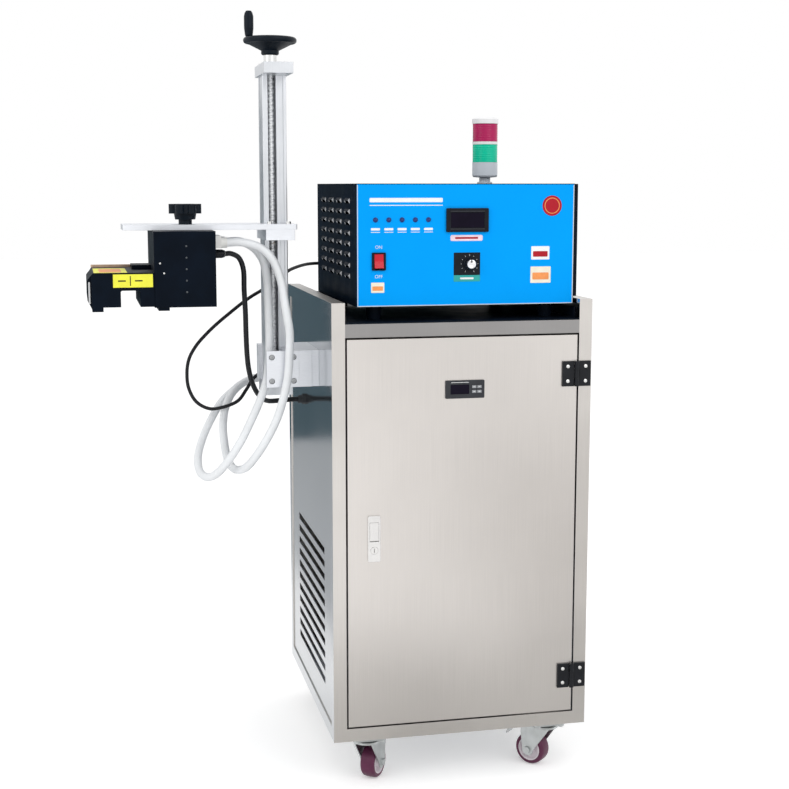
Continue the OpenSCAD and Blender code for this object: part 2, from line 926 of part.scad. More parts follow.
// Block of a key's outline, larger by a gap on each side, between two depths
module key_block(at, gap, y0, y1) {
  s = key_size / 2;
  span([at[0] - s[0] - gap, y0, at[1] - s[1] - gap], [at[0] + s[0] + gap, y1, at[1] + s[1] + gap]);
}

module controller_key(col, row) {
  front = -ctrl_t - key_proud;
  color("gainsboro")
    in_cabinet()
      key_block(key_place(col, row), 0, front, front + key_thick);
}

module key_set() {
  controller_key(0, 1);
}

module key_up() {
  controller_key(1, 1);
}

module key_reset() {
  controller_key(0, 0);
}

module key_down() {
  controller_key(1, 0);
}

module lock_plate() {
  pocket = paddle_w / 2 + slide_gap;
  low = paddle_axis_z - paddle_r - slide_gap;
  high = paddle_axis_z + paddle_h + slide_gap;
  color("silver")
    in_cabinet()
      difference() {
        union() {
          translate([lock_x - lock_w / 2, -lock_t, lock_z - lock_h / 2])
            round_plate(lock_w, lock_h, 3, lock_t);
          span(
            [lock_x - lock_w / 2 + lock_lip, 0, lock_z - lock_h / 2 + lock_lip],
            [lock_x + lock_w / 2 - lock_lip, lock_deep, lock_z + lock_h / 2 - lock_lip]
          );
        }
        span([lock_x - pocket, -lock_t - 1, low], [lock_x + pocket, 8, high]);
        rod_x(
          [lock_x - pocket - pivot_len - slide_gap, -paddle_r, paddle_axis_z],
          pivot_r + run_gap, 2 * (pocket + pivot_len + slide_gap)
        );
        rod_y([lock_x, -lock_t - 1, key_z], key_r + run_gap, lock_deep + lock_t + 2);
      }
}

// Pull paddle on a cross pivot at its lower end
module lock_paddle() {
  half = paddle_w / 2;
  color("silver")
    in_cabinet() {
      span([lock_x - half, -lock_t, paddle_axis_z], [lock_x + half, 0, paddle_axis_z + paddle_h]);
      rod_x([lock_x - half, -paddle_r, paddle_axis_z], paddle_r, paddle_w);
      rod_x(
        [lock_x - half - pivot_len - slide_gap / 2, -paddle_r, paddle_axis_z],
        pivot_r, paddle_w + 2 * pivot_len + slide_gap
      );
    }
}

// Key barrel with the cam that swings behind the frame's post
module key_cylinder() {
  front = -lock_t - 1;
  color("silver")
    in_cabinet()
      difference() {
        union() {
          rod_y([lock_x, front, key_z], key_r, cam_y + cam_t - front);
          span([lock_x - key_r, cam_y, key_z - cam_len], [lock_x + key_r, cam_y + cam_t, key_z]);
        }
        span([lock_x - 0.6, front - 1, key_z - 4], [lock_x + 0.6, front + 6, key_z + 4]);
      }
}

// Power box

// Louvred wall of the cover that faces -X
module vented_wall() {
  y0 = (box_d - (vent_cols - 1) * vent_pitch[0] - vent_len) / 2;
  z0 = 48;
  difference() {
    cube([box_sheet, box_d, box_h]);
    for (c = [0:vent_cols - 1], r = [0:vent_rows - 1])
      translate([-1, y0 + c * vent_pitch[0], z0 + r * vent_pitch[1]])
        span([0, box_sheet, 0], [box_sheet + 2, vent_len - box_sheet, vent_slot]);
  }
  for (c = [0:vent_cols - 1], r = [0:vent_rows - 1])
    translate([0, y0 + c * vent_pitch[0], z0 + r * vent_pitch[1]])
      louvre_hood(vent_len, vent_slot, vent_out, 1);
}

module power_case() {
  color("black")
    in_cabinet()
      translate([box_left, box_front, box_z]) {
        vented_wall();
        translate([box_w, 0, 0])
          mirror([1, 0, 0])
            vented_wall();
        difference() {
          span([box_sheet, 0, box_h - box_sheet], [box_w - box_sheet, box_d, box_h]);
          translate([tower_at[0] - box_left, tower_at[1] - box_front, box_h - base_t - 1])
            cylinder(r = 6, h = base_t + 2);
        }
      }
}

module power_base() {
  x0 = box_left + box_sheet;
  x1 = box_left + box_w - box_sheet;
  foot_r = 16;
  color("black")
    in_cabinet() {
      difference() {
        union() {
          span([x0, panel_y + panel_t, box_z], [x1, box_back, box_z + base_t]);
          span([x0, box_back - base_t, box_z], [x1, box_back, box_top - box_sheet]);
        }
        rod_y([mains_at[0], box_back - base_t - 1, mains_at[1]], gland_r - 3, base_t + 2);
        rod_y([thin_gland_at[0], box_back - base_t - 1, thin_gland_at[1]], gland_r - 3, base_t + 2);
      }
      for (x = [x0 + 40, x1 - 40], y = [box_front + 45, box_back - 45])
        translate([x, y, tray_top])
          cylinder(r1 = foot_r - 3, r2 = foot_r, h = box_foot);
    }
}

module front_panel() {
  x0 = box_left + box_sheet;
  color("deepskyblue")
    in_cabinet() {
      difference() {
        span([x0, panel_y, box_z], [box_left + box_w - box_sheet, panel_y + panel_t, box_top - box_sheet]);
        cutout(meter_at, meter_size - [6, 6] + [slide_gap, slide_gap]);
        cutout(switch_at, switch_size - [4, 4] + [slide_gap, slide_gap]);
        rod_y([pot_at[0], panel_y - 1, pot_at[1]], shaft_r + run_gap, panel_t + 2);
      }
      for (k = [0:lamp_count - 1])
        rod_y([lamp_x + k * lamp_pitch, panel_y - 2, lamp_z], lamp_r, 2 + eps);
    }
}

// Rectangular hole through the front panel
module cutout(at, size) {
  span(
    [at[0] - size[0] / 2, panel_y - 1, at[1] - size[1] / 2],
    [at[0] + size[0] / 2, panel_y + panel_t + 1, at[1] + size[1] / 2]
  );
}

// Block behind the front panel and its flange in front, both round a middle point
module panel_unit(at, flange, body, proud, deep) {
  translate([at[0] - flange[0] / 2, panel_y - proud, at[1] - flange[1] / 2])
    round_plate(flange[0], flange[1], 2, proud);
  span(
    [at[0] - body[0] / 2, panel_y, at[1] - body[1] / 2],
    [at[0] + body[0] / 2, panel_y + deep, at[1] + body[1] / 2]
  );
}

// Panel meter, rocker switch frame and potentiometer
module panel_fittings() {
  window = [64, 28];
  pocket = [rocker_size[0] / 2 + slide_gap, rocker_size[1] / 2 + 1.7];
  color("black")
    in_cabinet() {
      difference() {
        panel_unit(meter_at, meter_size, meter_size - [6, 6], meter_proud, 40);
        span(
          [meter_at[0] - window[0] / 2, panel_y - meter_proud - 1, meter_at[1] - window[1] / 2],
          [meter_at[0] + window[0] / 2, panel_y - meter_proud + 1.5, meter_at[1] + window[1] / 2]
        );
      }
      difference() {
        panel_unit(switch_at, switch_size, switch_size - [4, 4], switch_proud, switch_deep);
        span(
          [switch_at[0] - pocket[0], panel_y - switch_proud - 1, switch_at[1] - pocket[1]],
          [switch_at[0] + pocket[0], panel_y + 14, switch_at[1] + pocket[1]]
        );
        rod_x(
          [switch_at[0] - pocket[0] - pivot_len, panel_y, switch_at[1]],
          pivot_r + run_gap, 2 * (pocket[0] + pivot_len)
        );
      }
      difference() {
        rod_y([pot_at[0], panel_y + panel_t, pot_at[1]], pot_r, pot_deep);
        rod_y([pot_at[0], panel_y, pot_at[1]], shaft_r + run_gap, panel_t + pot_deep - 2);
      }
    }
}

// Two-position rocker, its upper end pressed in
module rocker() {
  w = rocker_size[0];
  h = rocker_size[1] / 2;
  color("crimson")
    in_cabinet()
      translate([switch_at[0] - w / 2, panel_y, switch_at[1]])
        rotate([-rocker_tilt, 0, 0]) {
          rotate([90, 0, 90])
            linear_extrude(w)
              polygon([[7, -h + 4], [7, h - 4], [-5, h], [-3.2, 0], [-5, -h]]);
          rod_x([-pivot_len + 0.2, 0, 0], pivot_r, w + 2 * pivot_len - 0.4);
        }
}

// Round knob with a pointer, on the potentiometer's shaft
module power_knob() {
  y = panel_y - slide_gap;
  color("white")
    in_cabinet()
      translate([pot_at[0], y, pot_at[1]])
        rotate([90, 0, 0]) {
          rotate_extrude()
            polygon([
              [0, 0], [knob_r + 1, 0], [knob_r + 1, 3], [knob_r, 4],
              [knob_r - 1, knob_len - 1.5], [knob_r - 2.5, knob_len], [0, knob_len]
            ]);
          translate([-1.2, 3, knob_len - 1])
            cube([2.4, knob_r - 3, 2]);
          translate([0, 0, -panel_t - pot_deep + 3])
            cylinder(r = shaft_r, h = panel_t + pot_deep);
        }
}

// Signal tower: white stem, base, ring and cap
module tower_body() {
  r = tower_d / 2;
  color("whitesmoke")
    in_cabinet()
      translate([tower_at[0], tower_at[1], box_top]) {
        rotate_extrude()
          polygon([
            [0, 0], [tower_stem_r + 4, 0], [tower_stem_r + 4, 3], [tower_stem_r, 4], [tower_stem_r, tower_stem],
            [r - 2, tower_stem + 1], [r, tower_stem + 4], [r, tower_stem + tower_base], [0, tower_stem + tower_base]
          ]);
        translate([0, 0, tower_stem + tower_base + lens_h])
          cylinder(r = r, h = ring_h);
        translate([0, 0, tower_stem + tower_base + 2 * lens_h + ring_h])
          rotate_extrude()
            polygon([[0, 0], [r + 1, 0], [r + 1, cap_h - 4], [r - 2, cap_h - 1], [r - 8, cap_h], [0, cap_h]]);
      }
}

// Ribbed lenses, green below and red above
module tower_lenses() {
  r = tower_d / 2 - 1;
  ribs = 6;
  color("mediumseagreen")
    in_cabinet()
      for (z = [0, lens_h + ring_h])
        translate([tower_at[0], tower_at[1], box_top + tower_stem + tower_base + z]) {
          cylinder(r = r - 1, h = lens_h);
          for (k = [0:ribs - 1])
            translate([0, 0, (k + 0.25) * lens_h / ribs])
              cylinder(r = r, h = lens_h / ribs / 2);
        }
}

// Cable gland pointing along +Y from the origin, with its bore
module gland(bore, len) {
  difference() {
    union() {
      rotate([-90, 0, 0])
        cylinder(r = gland_r, h = 6, $fn = 6);
      rod_y([0, 6 - eps, 0], gland_r - 2, len - 10);
      translate([0, len - 4 - 2 * eps, 0])
        rotate([-90, 0, 0])
          cylinder(r1 = gland_r - 2, r2 = gland_r - 4, h = 4);
      rod_y([0, -base_t - 4, 0], gland_r - 3 - run_gap, base_t + 5);
    }
    rod_y([0, -base_t - 6, 0], bore, len + base_t + 8);
  }
}

module rear_glands() {
  color("dimgray")
    in_cabinet() {
      translate([mains_at[0], box_back, mains_at[1]])
        gland(gland_bore, gland_len);
      translate([thin_gland_at[0], box_back, thin_gland_at[1]])
        gland(thin_d / 2 - 1, gland_len);
    }
}

// Bulkhead fittings of the hoses and cables on the left panel
module side_fittings() {
  color("dimgray")
    in_cabinet()
      for (f = [[fit_hose_a, hose_d], [fit_hose_b, hose_d], [fit_thick, thick_d], [fit_thin, thin_d]]) {
        r = f[1] / 2;
        out = f[1] > thick_d ? fit_out : fit_out - 2;
        rod_x([-out, f[0][0], f[0][1]], r + fit_wall, out + panel_inset);
        rod_x([panel_inset - eps, f[0][0], f[0][1]], r, sheet + 16);
        translate([panel_inset - 6, f[0][0], f[0][1]])
          rotate([0, 90, 0])
            cylinder(r = r + fit_wall + 3, h = 6, $fn = 6);
      }
}

// Lift column

// Block on the cabinet's side with the jaw behind the column
module bracket_block() {
  right = clamp_left + clamp_w;
  flange = panel_inset - flange_t;
  color("silver")
    in_cabinet() {
      span([right, block_front, clamp_z], [flange + eps, jaw_y + 25, clamp_z + clamp_h]);
      span([flange, block_front + flange_back, clamp_z], [panel_inset, jaw_y + 25, clamp_z + clamp_h]);
      span([clamp_left, jaw_y, clamp_z], [right + eps, jaw_y + 25, clamp_z + clamp_h]);
      span([col_x + col_w / 2, col_front, clamp_z], [right + eps, jaw_y + eps, clamp_z + clamp_h]);
      span([col_x + 6, block_front + plate_t, clamp_z], [right + eps, col_front, clamp_z + clamp_h]);
    }
}

// Front plate of the clamp, with four counterbored screw holes
module clamp_plate() {
  mid = clamp_left + clamp_w / 2;
  pitch = [42, 46];
  color("gainsboro")
    in_cabinet()
      difference() {
        span([clamp_left, block_front, clamp_z], [clamp_left + clamp_w, block_front + plate_t, clamp_z + clamp_h]);
        for (x = [-0.5, 0.5], z = [-0.5, 0.5])
          rod_y([mid + x * pitch[0], block_front - 1, clamp_mid + z * pitch[1]], 5.5, 8);
      }
}

// Extrusion with the screw's channel, a shallow groove and side slots
module column_section() {
  half = col_w / 2;
  groove = [8, 3];
  slot = [8, 5];
  lip = 2;
  difference() {
    translate([col_x - half, col_front])
      round_rect(col_w, col_d, 2);
    translate([screw_x - channel_w / 2, col_front - 1])
      square([channel_w, channel_d + 1]);
    translate([col_x + half - 6 - groove[0], col_front - 1])
      square([groove[0], groove[1] + 1]);
    for (x = [col_x - half - 1, col_x + half - slot[1]])
      translate([x, col_front + 40 - slot[0] / 2])
        square([slot[1] + 1, slot[0]]);
    translate([col_x - half + slot[1] + 4, col_front + channel_d + 6])
      square([col_w - 2 * slot[1] - 8, col_d - channel_d - 6 - lip * 2]);
  }
}

module column_profile() {
  color("gainsboro")
    in_cabinet()
      translate([0, 0, col_z])
        linear_extrude(col_len)
          column_section();
}

// Blocks that hold the screw at the foot and the head of the column
module column_bearings() {
  foot_front = col_front - 15;
  seat = 14;
  color("silver")
    in_cabinet() {
      difference() {
        span([block_x, block_front, col_top], [block_x + block_w, block_back, top_z]);
        translate([screw_x, screw_y, col_top - 1])
          cylinder(r = screw_r + run_gap, h = top_block_t + 2);
      }
      difference() {
        span([block_x, foot_front, col_z - block_t], [block_x + block_w, block_back, col_z]);
        translate([screw_x, screw_y, col_z - seat])
          cylinder(r = screw_r + run_gap, h = seat + 1);
      }
    }
}

// Screw with the collar under the handwheel
module lead_screw() {
  color("silver")
    in_cabinet()
      translate([screw_x, screw_y, 0]) {
        translate([0, 0, col_z - 13])
          cylinder(r = screw_r, h = hub_z + 20 - col_z + 13);
        translate([0, 0, top_z + slide_gap])
          cylinder(r = collar_r, h = collar_h - slide_gap);
      }
}

// Dished handwheel turned about the screw, with the pin of its grip
module handwheel() {
  web = 5;
  color("black")
    in_cabinet()
      translate([screw_x, screw_y, hub_z]) {
        rotate_extrude()
          polygon([
            [screw_r + run_gap, 0], [hub_r - 2, 0], [hub_r, 2], [hub_r, 8], [wheel_r - rim_r, 22],
            [wheel_r - rim_r, 22 + web], [hub_r, 8 + 2 * web], [hub_r - 4, 22], [screw_r + run_gap, 22]
          ]);
        translate([0, 0, rim_z - hub_z])
          rotate_extrude()
            translate([wheel_r - rim_r, 0])
              circle(rim_r);
        translate([-grip_at, 0, rim_z - hub_z])
          cylinder(r = grip_pin_r, h = grip_z - rim_z + grip_len - 8);
      }
}

module handwheel_grip() {
  r = grip_r;
  color("black")
    in_cabinet()
      translate([screw_x - grip_at, screw_y, grip_z])
        rotate_extrude()
          polygon([
            [grip_pin_r + run_gap, 0], [r - 3, 0], [r - 1.5, 3], [r, 16], [r, grip_len - 10],
            [r - 1.5, grip_len - 4], [r - 4, grip_len], [0, grip_len], [0, grip_len - 7.5],
            [grip_pin_r + run_gap, grip_len - 7.5]
          ]);
}

module carriage_block() {
  half = col_w / 2 + slide_gap;
  color("gainsboro")
    in_cabinet()
      difference() {
        span([block_x, block_front, carriage_z], [block_x + block_w, block_back, carriage_z + block_t]);
        span(
          [col_x - half, col_front - slide_gap, carriage_z - 1],
          [col_x + half, jaw_y + slide_gap, carriage_z + block_t + 1]
        );
      }
}

// Brass nut that reaches from the carriage into the column's channel
module lead_nut() {
  color("goldenrod")
    in_cabinet()
      difference() {
        span(
          [screw_x - nut_w / 2, col_front - slide_gap, carriage_z],
          [screw_x + nut_w / 2, screw_y + nut_back, carriage_z + block_t]
        );
        translate([screw_x, screw_y, carriage_z - 1])
          cylinder(r = screw_r + run_gap, h = block_t + 2);
      }
}

// Flat arm, notched round the column, with the slot of the head's stud
module arm_plate() {
  notch_y = col_front - 3;
  color("gainsboro")
    in_cabinet()
      difference() {
        translate([arm_left, block_front, arm_z])
          linear_extrude(arm_t)
            round_rect(arm_len, arm_d, 2);
        span([block_x - 1, notch_y, arm_z - 1], [arm_right + 1, block_front + arm_d + 1, arm_z + arm_t + 1]);
        translate([0, 0, arm_z - 1])
          linear_extrude(arm_t + 2) {
            translate([slot_left, slot_y - slot_w / 2])
              square([slot_right - slot_left, slot_w]);
            for (x = [slot_left, slot_right])
              translate([x, slot_y])
                circle(slot_w / 2);
          }
      }
}

// Sealing head

module head_housing() {
  rail_x = head_x + 7;
  color("black")
    in_cabinet()
      difference() {
        union() {
          translate([head_x, head_front, head_z])
            linear_extrude(head_h)
              round_rect(head_w, head_len, 2);
          span([rail_x, head_front + 2, head_z - foot_h + 2], [rail_x + foot_w, head_front + head_len - 2, head_z]);
        }
        translate([knob_x, slot_y, head_top - stud_deep])
          cylinder(r = stud_r + run_gap, h = stud_deep + 1);
      }
}

// Inverted U that the capped bottles pass under
module tunnel_head() {
  top = shoe_z + shoe_h;
  roof = shoe_z + tunnel_h;
  link_y = head_front + 110;
  color("black")
    in_cabinet() {
      translate([0, head_front + head_len, 0])
        rotate([90, 0, 0])
          linear_extrude(head_len)
            polygon([
              [shoe_x, shoe_z - foot_h], [shoe_x + foot_w, shoe_z - foot_h], [shoe_x + foot_w, shoe_z],
              [tunnel_x, shoe_z], [tunnel_x, roof - 2], [tunnel_x + 2, roof],
              [tunnel_x + tunnel_w - 2, roof], [tunnel_x + tunnel_w, roof - 2], [tunnel_x + tunnel_w, shoe_z],
              [head_x, shoe_z], [head_x, top], [shoe_x + 3, top], [shoe_x, top - 3]
            ]);
      span([head_x - 36, link_y, top - eps], [head_x, link_y + 70, top + 8]);
      translate([0, head_front + head_len, 0])
        rotate([90, 0, 0])
          linear_extrude(head_len - cheek_back)
            polygon([
              [shoe_x + eps, shoe_z - foot_h / 2], [shoe_x + eps, top - 4],
              [shoe_x - cheek, top - 14], [shoe_x - cheek, shoe_z + 12]
            ]);
    }
}

// Hose manifold and cable gland on the head's right side
module head_fittings() {
  right = head_x + head_w;
  depth = 70;
  height = 26;
  mid = (hose_a_y + hose_b_y) / 2;
  color("white")
    in_cabinet() {
      span(
        [right, mid - depth / 2, manifold_z - height / 2 + 3],
        [right + manifold_w - 12, mid + depth / 2, manifold_z + height / 2]
      );
      for (y = [hose_a_y, hose_b_y])
        rod_x([right + manifold_w - 12 - eps, y, manifold_z], hose_d / 2 + 2, 12 + eps - slide_gap);
      rod_x([right, cable_y, cable_z], thick_d / 2 + 3, cable_gland_w - 6);
      translate([right + cable_gland_w - 6 - eps, cable_y, cable_z])
        rotate([0, 90, 0])
          cylinder(r1 = thick_d / 2 + 3, r2 = thick_d / 2 + 1, h = 6 + eps - slide_gap);
    }
}

// Star knob with its stud through the arm's slot
module star_knob() {
  lobes = 6;
  z = arm_z + arm_t + slide_gap;
  color("black")
    in_cabinet()
      translate([knob_x, slot_y, z]) {
        cylinder(r = 12.5, h = 9);
        translate([0, 0, 9 - eps])
          cylinder(r1 = 19, r2 = 21, h = 11);
        translate([0, 0, 20 - 2 * eps])
          linear_extrude(18) {
            circle(23);
            for (k = [0:lobes - 1])
              rotate([0, 0, k * 360 / lobes])
                translate([22, 0])
                  circle(8.5);
          }
        translate([0, 0, -arm_t - 2 * slide_gap - stud_deep + 3])
          cylinder(r = stud_r, h = arm_t + 2 * slide_gap + stud_deep);
      }
}

// Cords

module hose_a() {
  color("white")
    in_cabinet()
      swept_tube(hose_a_path, hose_d, 12);
}

module hose_b() {
  color("white")
    in_cabinet()
      swept_tube(hose_b_path, hose_d, 12);
}

module cable_thick() {
  color("black")
    in_cabinet()
      swept_tube(thick_path, thick_d, 10);
}

module cable_thin() {
  color("black")
    in_cabinet()
      swept_tube(thin_path, thin_d, 8);
}

cabinet_frame();
left_side_panel();
right_side_panel();
back_panel();
floor_panel();
top_tray();
water_tank();
water_pump();
compressor();
condenser();
fan_rotor();
castor_plates();
frame_hinges();
door();
door_hinges();
controller();
key_set();
key_up();
key_down();
key_reset();
lock_plate();
lock_paddle();
key_cylinder();
power_case();
power_base();
front_panel();
panel_fittings();
rocker();
power_knob();
tower_body();
tower_lenses();
rear_glands();
side_fittings();
bracket_block();
clamp_plate();
column_profile();
column_bearings();
lead_screw();
handwheel();
handwheel_grip();
carriage_block();
lead_nut();
arm_plate();
head_housing();
tunnel_head();
head_fittings();
star_knob();
fork_fl();
fork_fr();
fork_rl();
fork_rr();
wheel_fl();
wheel_fr();
wheel_rl();
wheel_rr();
brake_lever();
hose_a();
hose_b();
cable_thick();
cable_thin();
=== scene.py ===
import math

import bmesh
import bpy
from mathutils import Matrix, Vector


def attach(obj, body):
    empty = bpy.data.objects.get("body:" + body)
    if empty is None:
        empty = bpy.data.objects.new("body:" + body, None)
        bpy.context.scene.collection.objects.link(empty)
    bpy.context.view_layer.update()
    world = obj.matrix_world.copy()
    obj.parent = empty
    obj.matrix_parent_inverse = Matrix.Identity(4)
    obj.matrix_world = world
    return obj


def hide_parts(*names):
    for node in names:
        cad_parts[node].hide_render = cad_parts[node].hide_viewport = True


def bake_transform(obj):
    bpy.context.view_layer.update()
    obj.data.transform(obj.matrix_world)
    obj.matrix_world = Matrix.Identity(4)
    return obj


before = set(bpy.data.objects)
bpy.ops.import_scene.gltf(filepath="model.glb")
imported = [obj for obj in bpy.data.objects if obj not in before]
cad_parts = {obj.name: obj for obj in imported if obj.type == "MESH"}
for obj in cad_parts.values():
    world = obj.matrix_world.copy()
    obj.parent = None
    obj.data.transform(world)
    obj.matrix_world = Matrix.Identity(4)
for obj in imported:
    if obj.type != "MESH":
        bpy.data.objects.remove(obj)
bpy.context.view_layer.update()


# Studio: a camera at standing height in front and to the left of the machine.
# A pale floor runs into a white surround, and large soft lamps light the steel.
def soft_lamp(name, place, aim, size, watts):
    bpy.ops.object.light_add(type="AREA", location=place)
    lamp = bpy.context.object
    lamp.name = name
    lamp.data.shape = "DISK"
    lamp.data.size = size
    lamp.data.energy = watts
    lamp.rotation_euler = (Vector(aim) - Vector(place)).to_track_quat("-Z", "Y").to_euler()


bpy.context.scene.view_settings.view_transform = "Standard"
camera_place = (-0.699, -2.8223, 1.1414)
looks_down, looks_right = 8.31, 12.51
bpy.ops.object.camera_add(location=camera_place)
camera = bpy.context.object
camera.rotation_euler = (math.radians(90 - looks_down), 0, math.radians(-looks_right))
camera.data.sensor_width = 36
camera.data.lens = 65.28
bpy.context.scene.camera = camera

soft_lamp("front_lamp", (1.6, -3.2, 2.9), (0, 0, 0.8), 2.6, 36)
soft_lamp("left_lamp", (-3.2, -1.6, 2.4), (-0.3, 0, 0.9), 2.4, 20)
soft_lamp("top_lamp", (-0.2, 0.4, 3.6), (-0.1, 0, 0.6), 2.4, 9)


def seen_directly(tree):
    """One for rays from the camera or by way of a mirror or glass, nought for light on a surface."""
    ray = tree.nodes.new("ShaderNodeLightPath")
    seen = ray.outputs["Is Camera Ray"]
    for kind in ("Is Glossy Ray", "Is Transmission Ray"):
        either = tree.nodes.new("ShaderNodeMath")
        either.operation = "MAXIMUM"
        tree.links.new(seen, either.inputs[0])
        tree.links.new(ray.outputs[kind], either.inputs[1])
        seen = either.outputs[0]
    return seen


surround = bpy.data.worlds.new("white_surround")
bpy.context.scene.world = surround
surround.use_nodes = True
sky = surround.node_tree.nodes["Background"]
sky.inputs["Color"].default_value = (1, 1, 1, 1)
sky_level = surround.node_tree.nodes.new("ShaderNodeMapRange")
sky_level.inputs["To Min"].default_value = 0.86
sky_level.inputs["To Max"].default_value = 1.0
surround.node_tree.links.new(seen_directly(surround.node_tree), sky_level.inputs["Value"])
surround.node_tree.links.new(sky_level.outputs["Result"], sky.inputs["Strength"])

floor_width = 40
bpy.ops.mesh.primitive_plane_add(size=floor_width)
floor = bpy.context.object
floor.name = "studio_floor"
pale = bpy.data.materials.new("pale_floor")
pale.use_nodes = True
floor_shader = pale.node_tree.nodes["Principled BSDF"]
floor_shader.inputs["Base Color"].default_value = (0.9, 0.9, 0.9, 1)
floor_shader.inputs["Roughness"].default_value = 0.8
floor_shader.inputs["Specular IOR Level"].default_value = 0.1
floor_shader.inputs["Emission Color"].default_value = (1, 1, 1, 1)
floor_glow = pale.node_tree.nodes.new("ShaderNodeMath")
floor_glow.operation = "MULTIPLY"
floor_glow.inputs[1].default_value = 0.3
pale.node_tree.links.new(seen_directly(pale.node_tree), floor_glow.inputs[0])
pale.node_tree.links.new(floor_glow.outputs[0], floor_shader.inputs["Emission Strength"])
floor.data.materials.append(pale)


def mirror_card(name, place, turn, size, colour):
    """A board that only the steel sees, as a studio puts beside a shiny machine."""
    bpy.ops.mesh.primitive_plane_add(size=1, location=place, rotation=(math.radians(turn), 0, 0))
    card = bpy.context.object
    card.name = name
    card.scale = (size[0], size[1], 1)
    board = bpy.data.materials.new(name)
    board.use_nodes = True
    paint = board.node_tree.nodes["Principled BSDF"]
    paint.inputs["Base Color"].default_value = (*colour, 1)
    paint.inputs["Roughness"].default_value = 0.9
    card.data.materials.append(board)
    card.visible_camera = False
    card.visible_diffuse = False
    card.visible_shadow = False


card_lift = 0.004
mirror_card("slate_card", (-0.6, 3.5, 0.75), 90, (3.2, 1.5), (0.075, 0.12, 0.145))
mirror_card("rear_floor_card", (-1.31, 1.97, card_lift), 0, (1.78, 3.05), (0.50, 0.52, 0.54))
mirror_card("front_floor_card", (0.3, -0.72, card_lift), 0, (1.3, 0.72), (0.58, 0.58, 0.57))
mirror_card("right_floor_card", (1.05, -2.2, card_lift), 0, (1.2, 2.6), (0.62, 0.61, 0.60))


# Cabinet: welded square stainless tube with flat sheets set between the tubes.
# The sheet is brushed upright on the front and nearly polished on the sides.
def effect(title, inputs, outputs):
    group = bpy.data.node_groups.new(title, "ShaderNodeTree")
    for label, kind, value in inputs:
        group.interface.new_socket(label, in_out="INPUT", socket_type=kind).default_value = value
    for label, kind in outputs:
        group.interface.new_socket(label, in_out="OUTPUT", socket_type=kind)
    return group, group.nodes.new("NodeGroupInput"), group.nodes.new("NodeGroupOutput")


uneven, taken, given = effect("uneven_tone", [("Size", "NodeSocketFloat", 10)], [("Tone", "NodeSocketFloat")])
place = uneven.nodes.new("ShaderNodeTexCoord")
cloud = uneven.nodes.new("ShaderNodeTexNoise")
cloud.inputs["Detail"].default_value = 5
spread = uneven.nodes.new("ShaderNodeMapRange")
spread.interpolation_type = "SMOOTHSTEP"
spread.inputs["From Min"].default_value = 0.25
spread.inputs["From Max"].default_value = 0.75
uneven.links.new(place.outputs["Object"], cloud.inputs["Vector"])
uneven.links.new(taken.outputs["Size"], cloud.inputs["Scale"])
uneven.links.new(cloud.outputs["Fac"], spread.inputs["Value"])
uneven.links.new(spread.outputs["Result"], given.inputs["Tone"])

brushed, taken, given = effect(
    "brush_marks", [("Stretch", "NodeSocketVector", (600, 600, 6))], [("Marks", "NodeSocketFloat")]
)
place = brushed.nodes.new("ShaderNodeTexCoord")
pull = brushed.nodes.new("ShaderNodeVectorMath")
pull.operation = "MULTIPLY"
hair = brushed.nodes.new("ShaderNodeTexNoise")
hair.inputs["Scale"].default_value = 1
hair.inputs["Detail"].default_value = 3
brushed.links.new(place.outputs["Object"], pull.inputs[0])
brushed.links.new(taken.outputs["Stretch"], pull.inputs[1])
brushed.links.new(pull.outputs["Vector"], hair.inputs["Vector"])
brushed.links.new(hair.outputs["Fac"], given.inputs["Marks"])

# An edge mask and a rounded normal from a bevel; the mask carries both edge wear and a painted edge
# highlight.
wear_and_sheen_edges, taken, given = effect(
    "edge_wear_and_sheen", [("Radius", "NodeSocketFloat", 0.001)],
    [("Edge", "NodeSocketFloat"), ("Normal", "NodeSocketVector")]
)
eased = wear_and_sheen_edges.nodes.new("ShaderNodeBevel")
eased.samples = 4
shape = wear_and_sheen_edges.nodes.new("ShaderNodeNewGeometry")
bend = wear_and_sheen_edges.nodes.new("ShaderNodeVectorMath")
bend.operation = "DOT_PRODUCT"
rim = wear_and_sheen_edges.nodes.new("ShaderNodeMapRange")
rim.inputs["From Min"].default_value = 0.99
rim.inputs["From Max"].default_value = 0.80
wear_and_sheen_edges.links.new(taken.outputs["Radius"], eased.inputs["Radius"])
wear_and_sheen_edges.links.new(eased.outputs["Normal"], bend.inputs[0])
wear_and_sheen_edges.links.new(shape.outputs["Normal"], bend.inputs[1])
wear_and_sheen_edges.links.new(bend.outputs["Value"], rim.inputs["Value"])
wear_and_sheen_edges.links.new(rim.outputs["Result"], given.inputs["Edge"])
wear_and_sheen_edges.links.new(eased.outputs["Normal"], given.inputs["Normal"])


# Sockets of a Mix node: its share is at 0, then come two numbers, and later two colours.
number_a, number_b, colour_a, colour_b, colour_out = 2, 3, 6, 7, 2


def tinted(colour, share):
    return (*[min(1, c * share) for c in colour[:3]], 1)


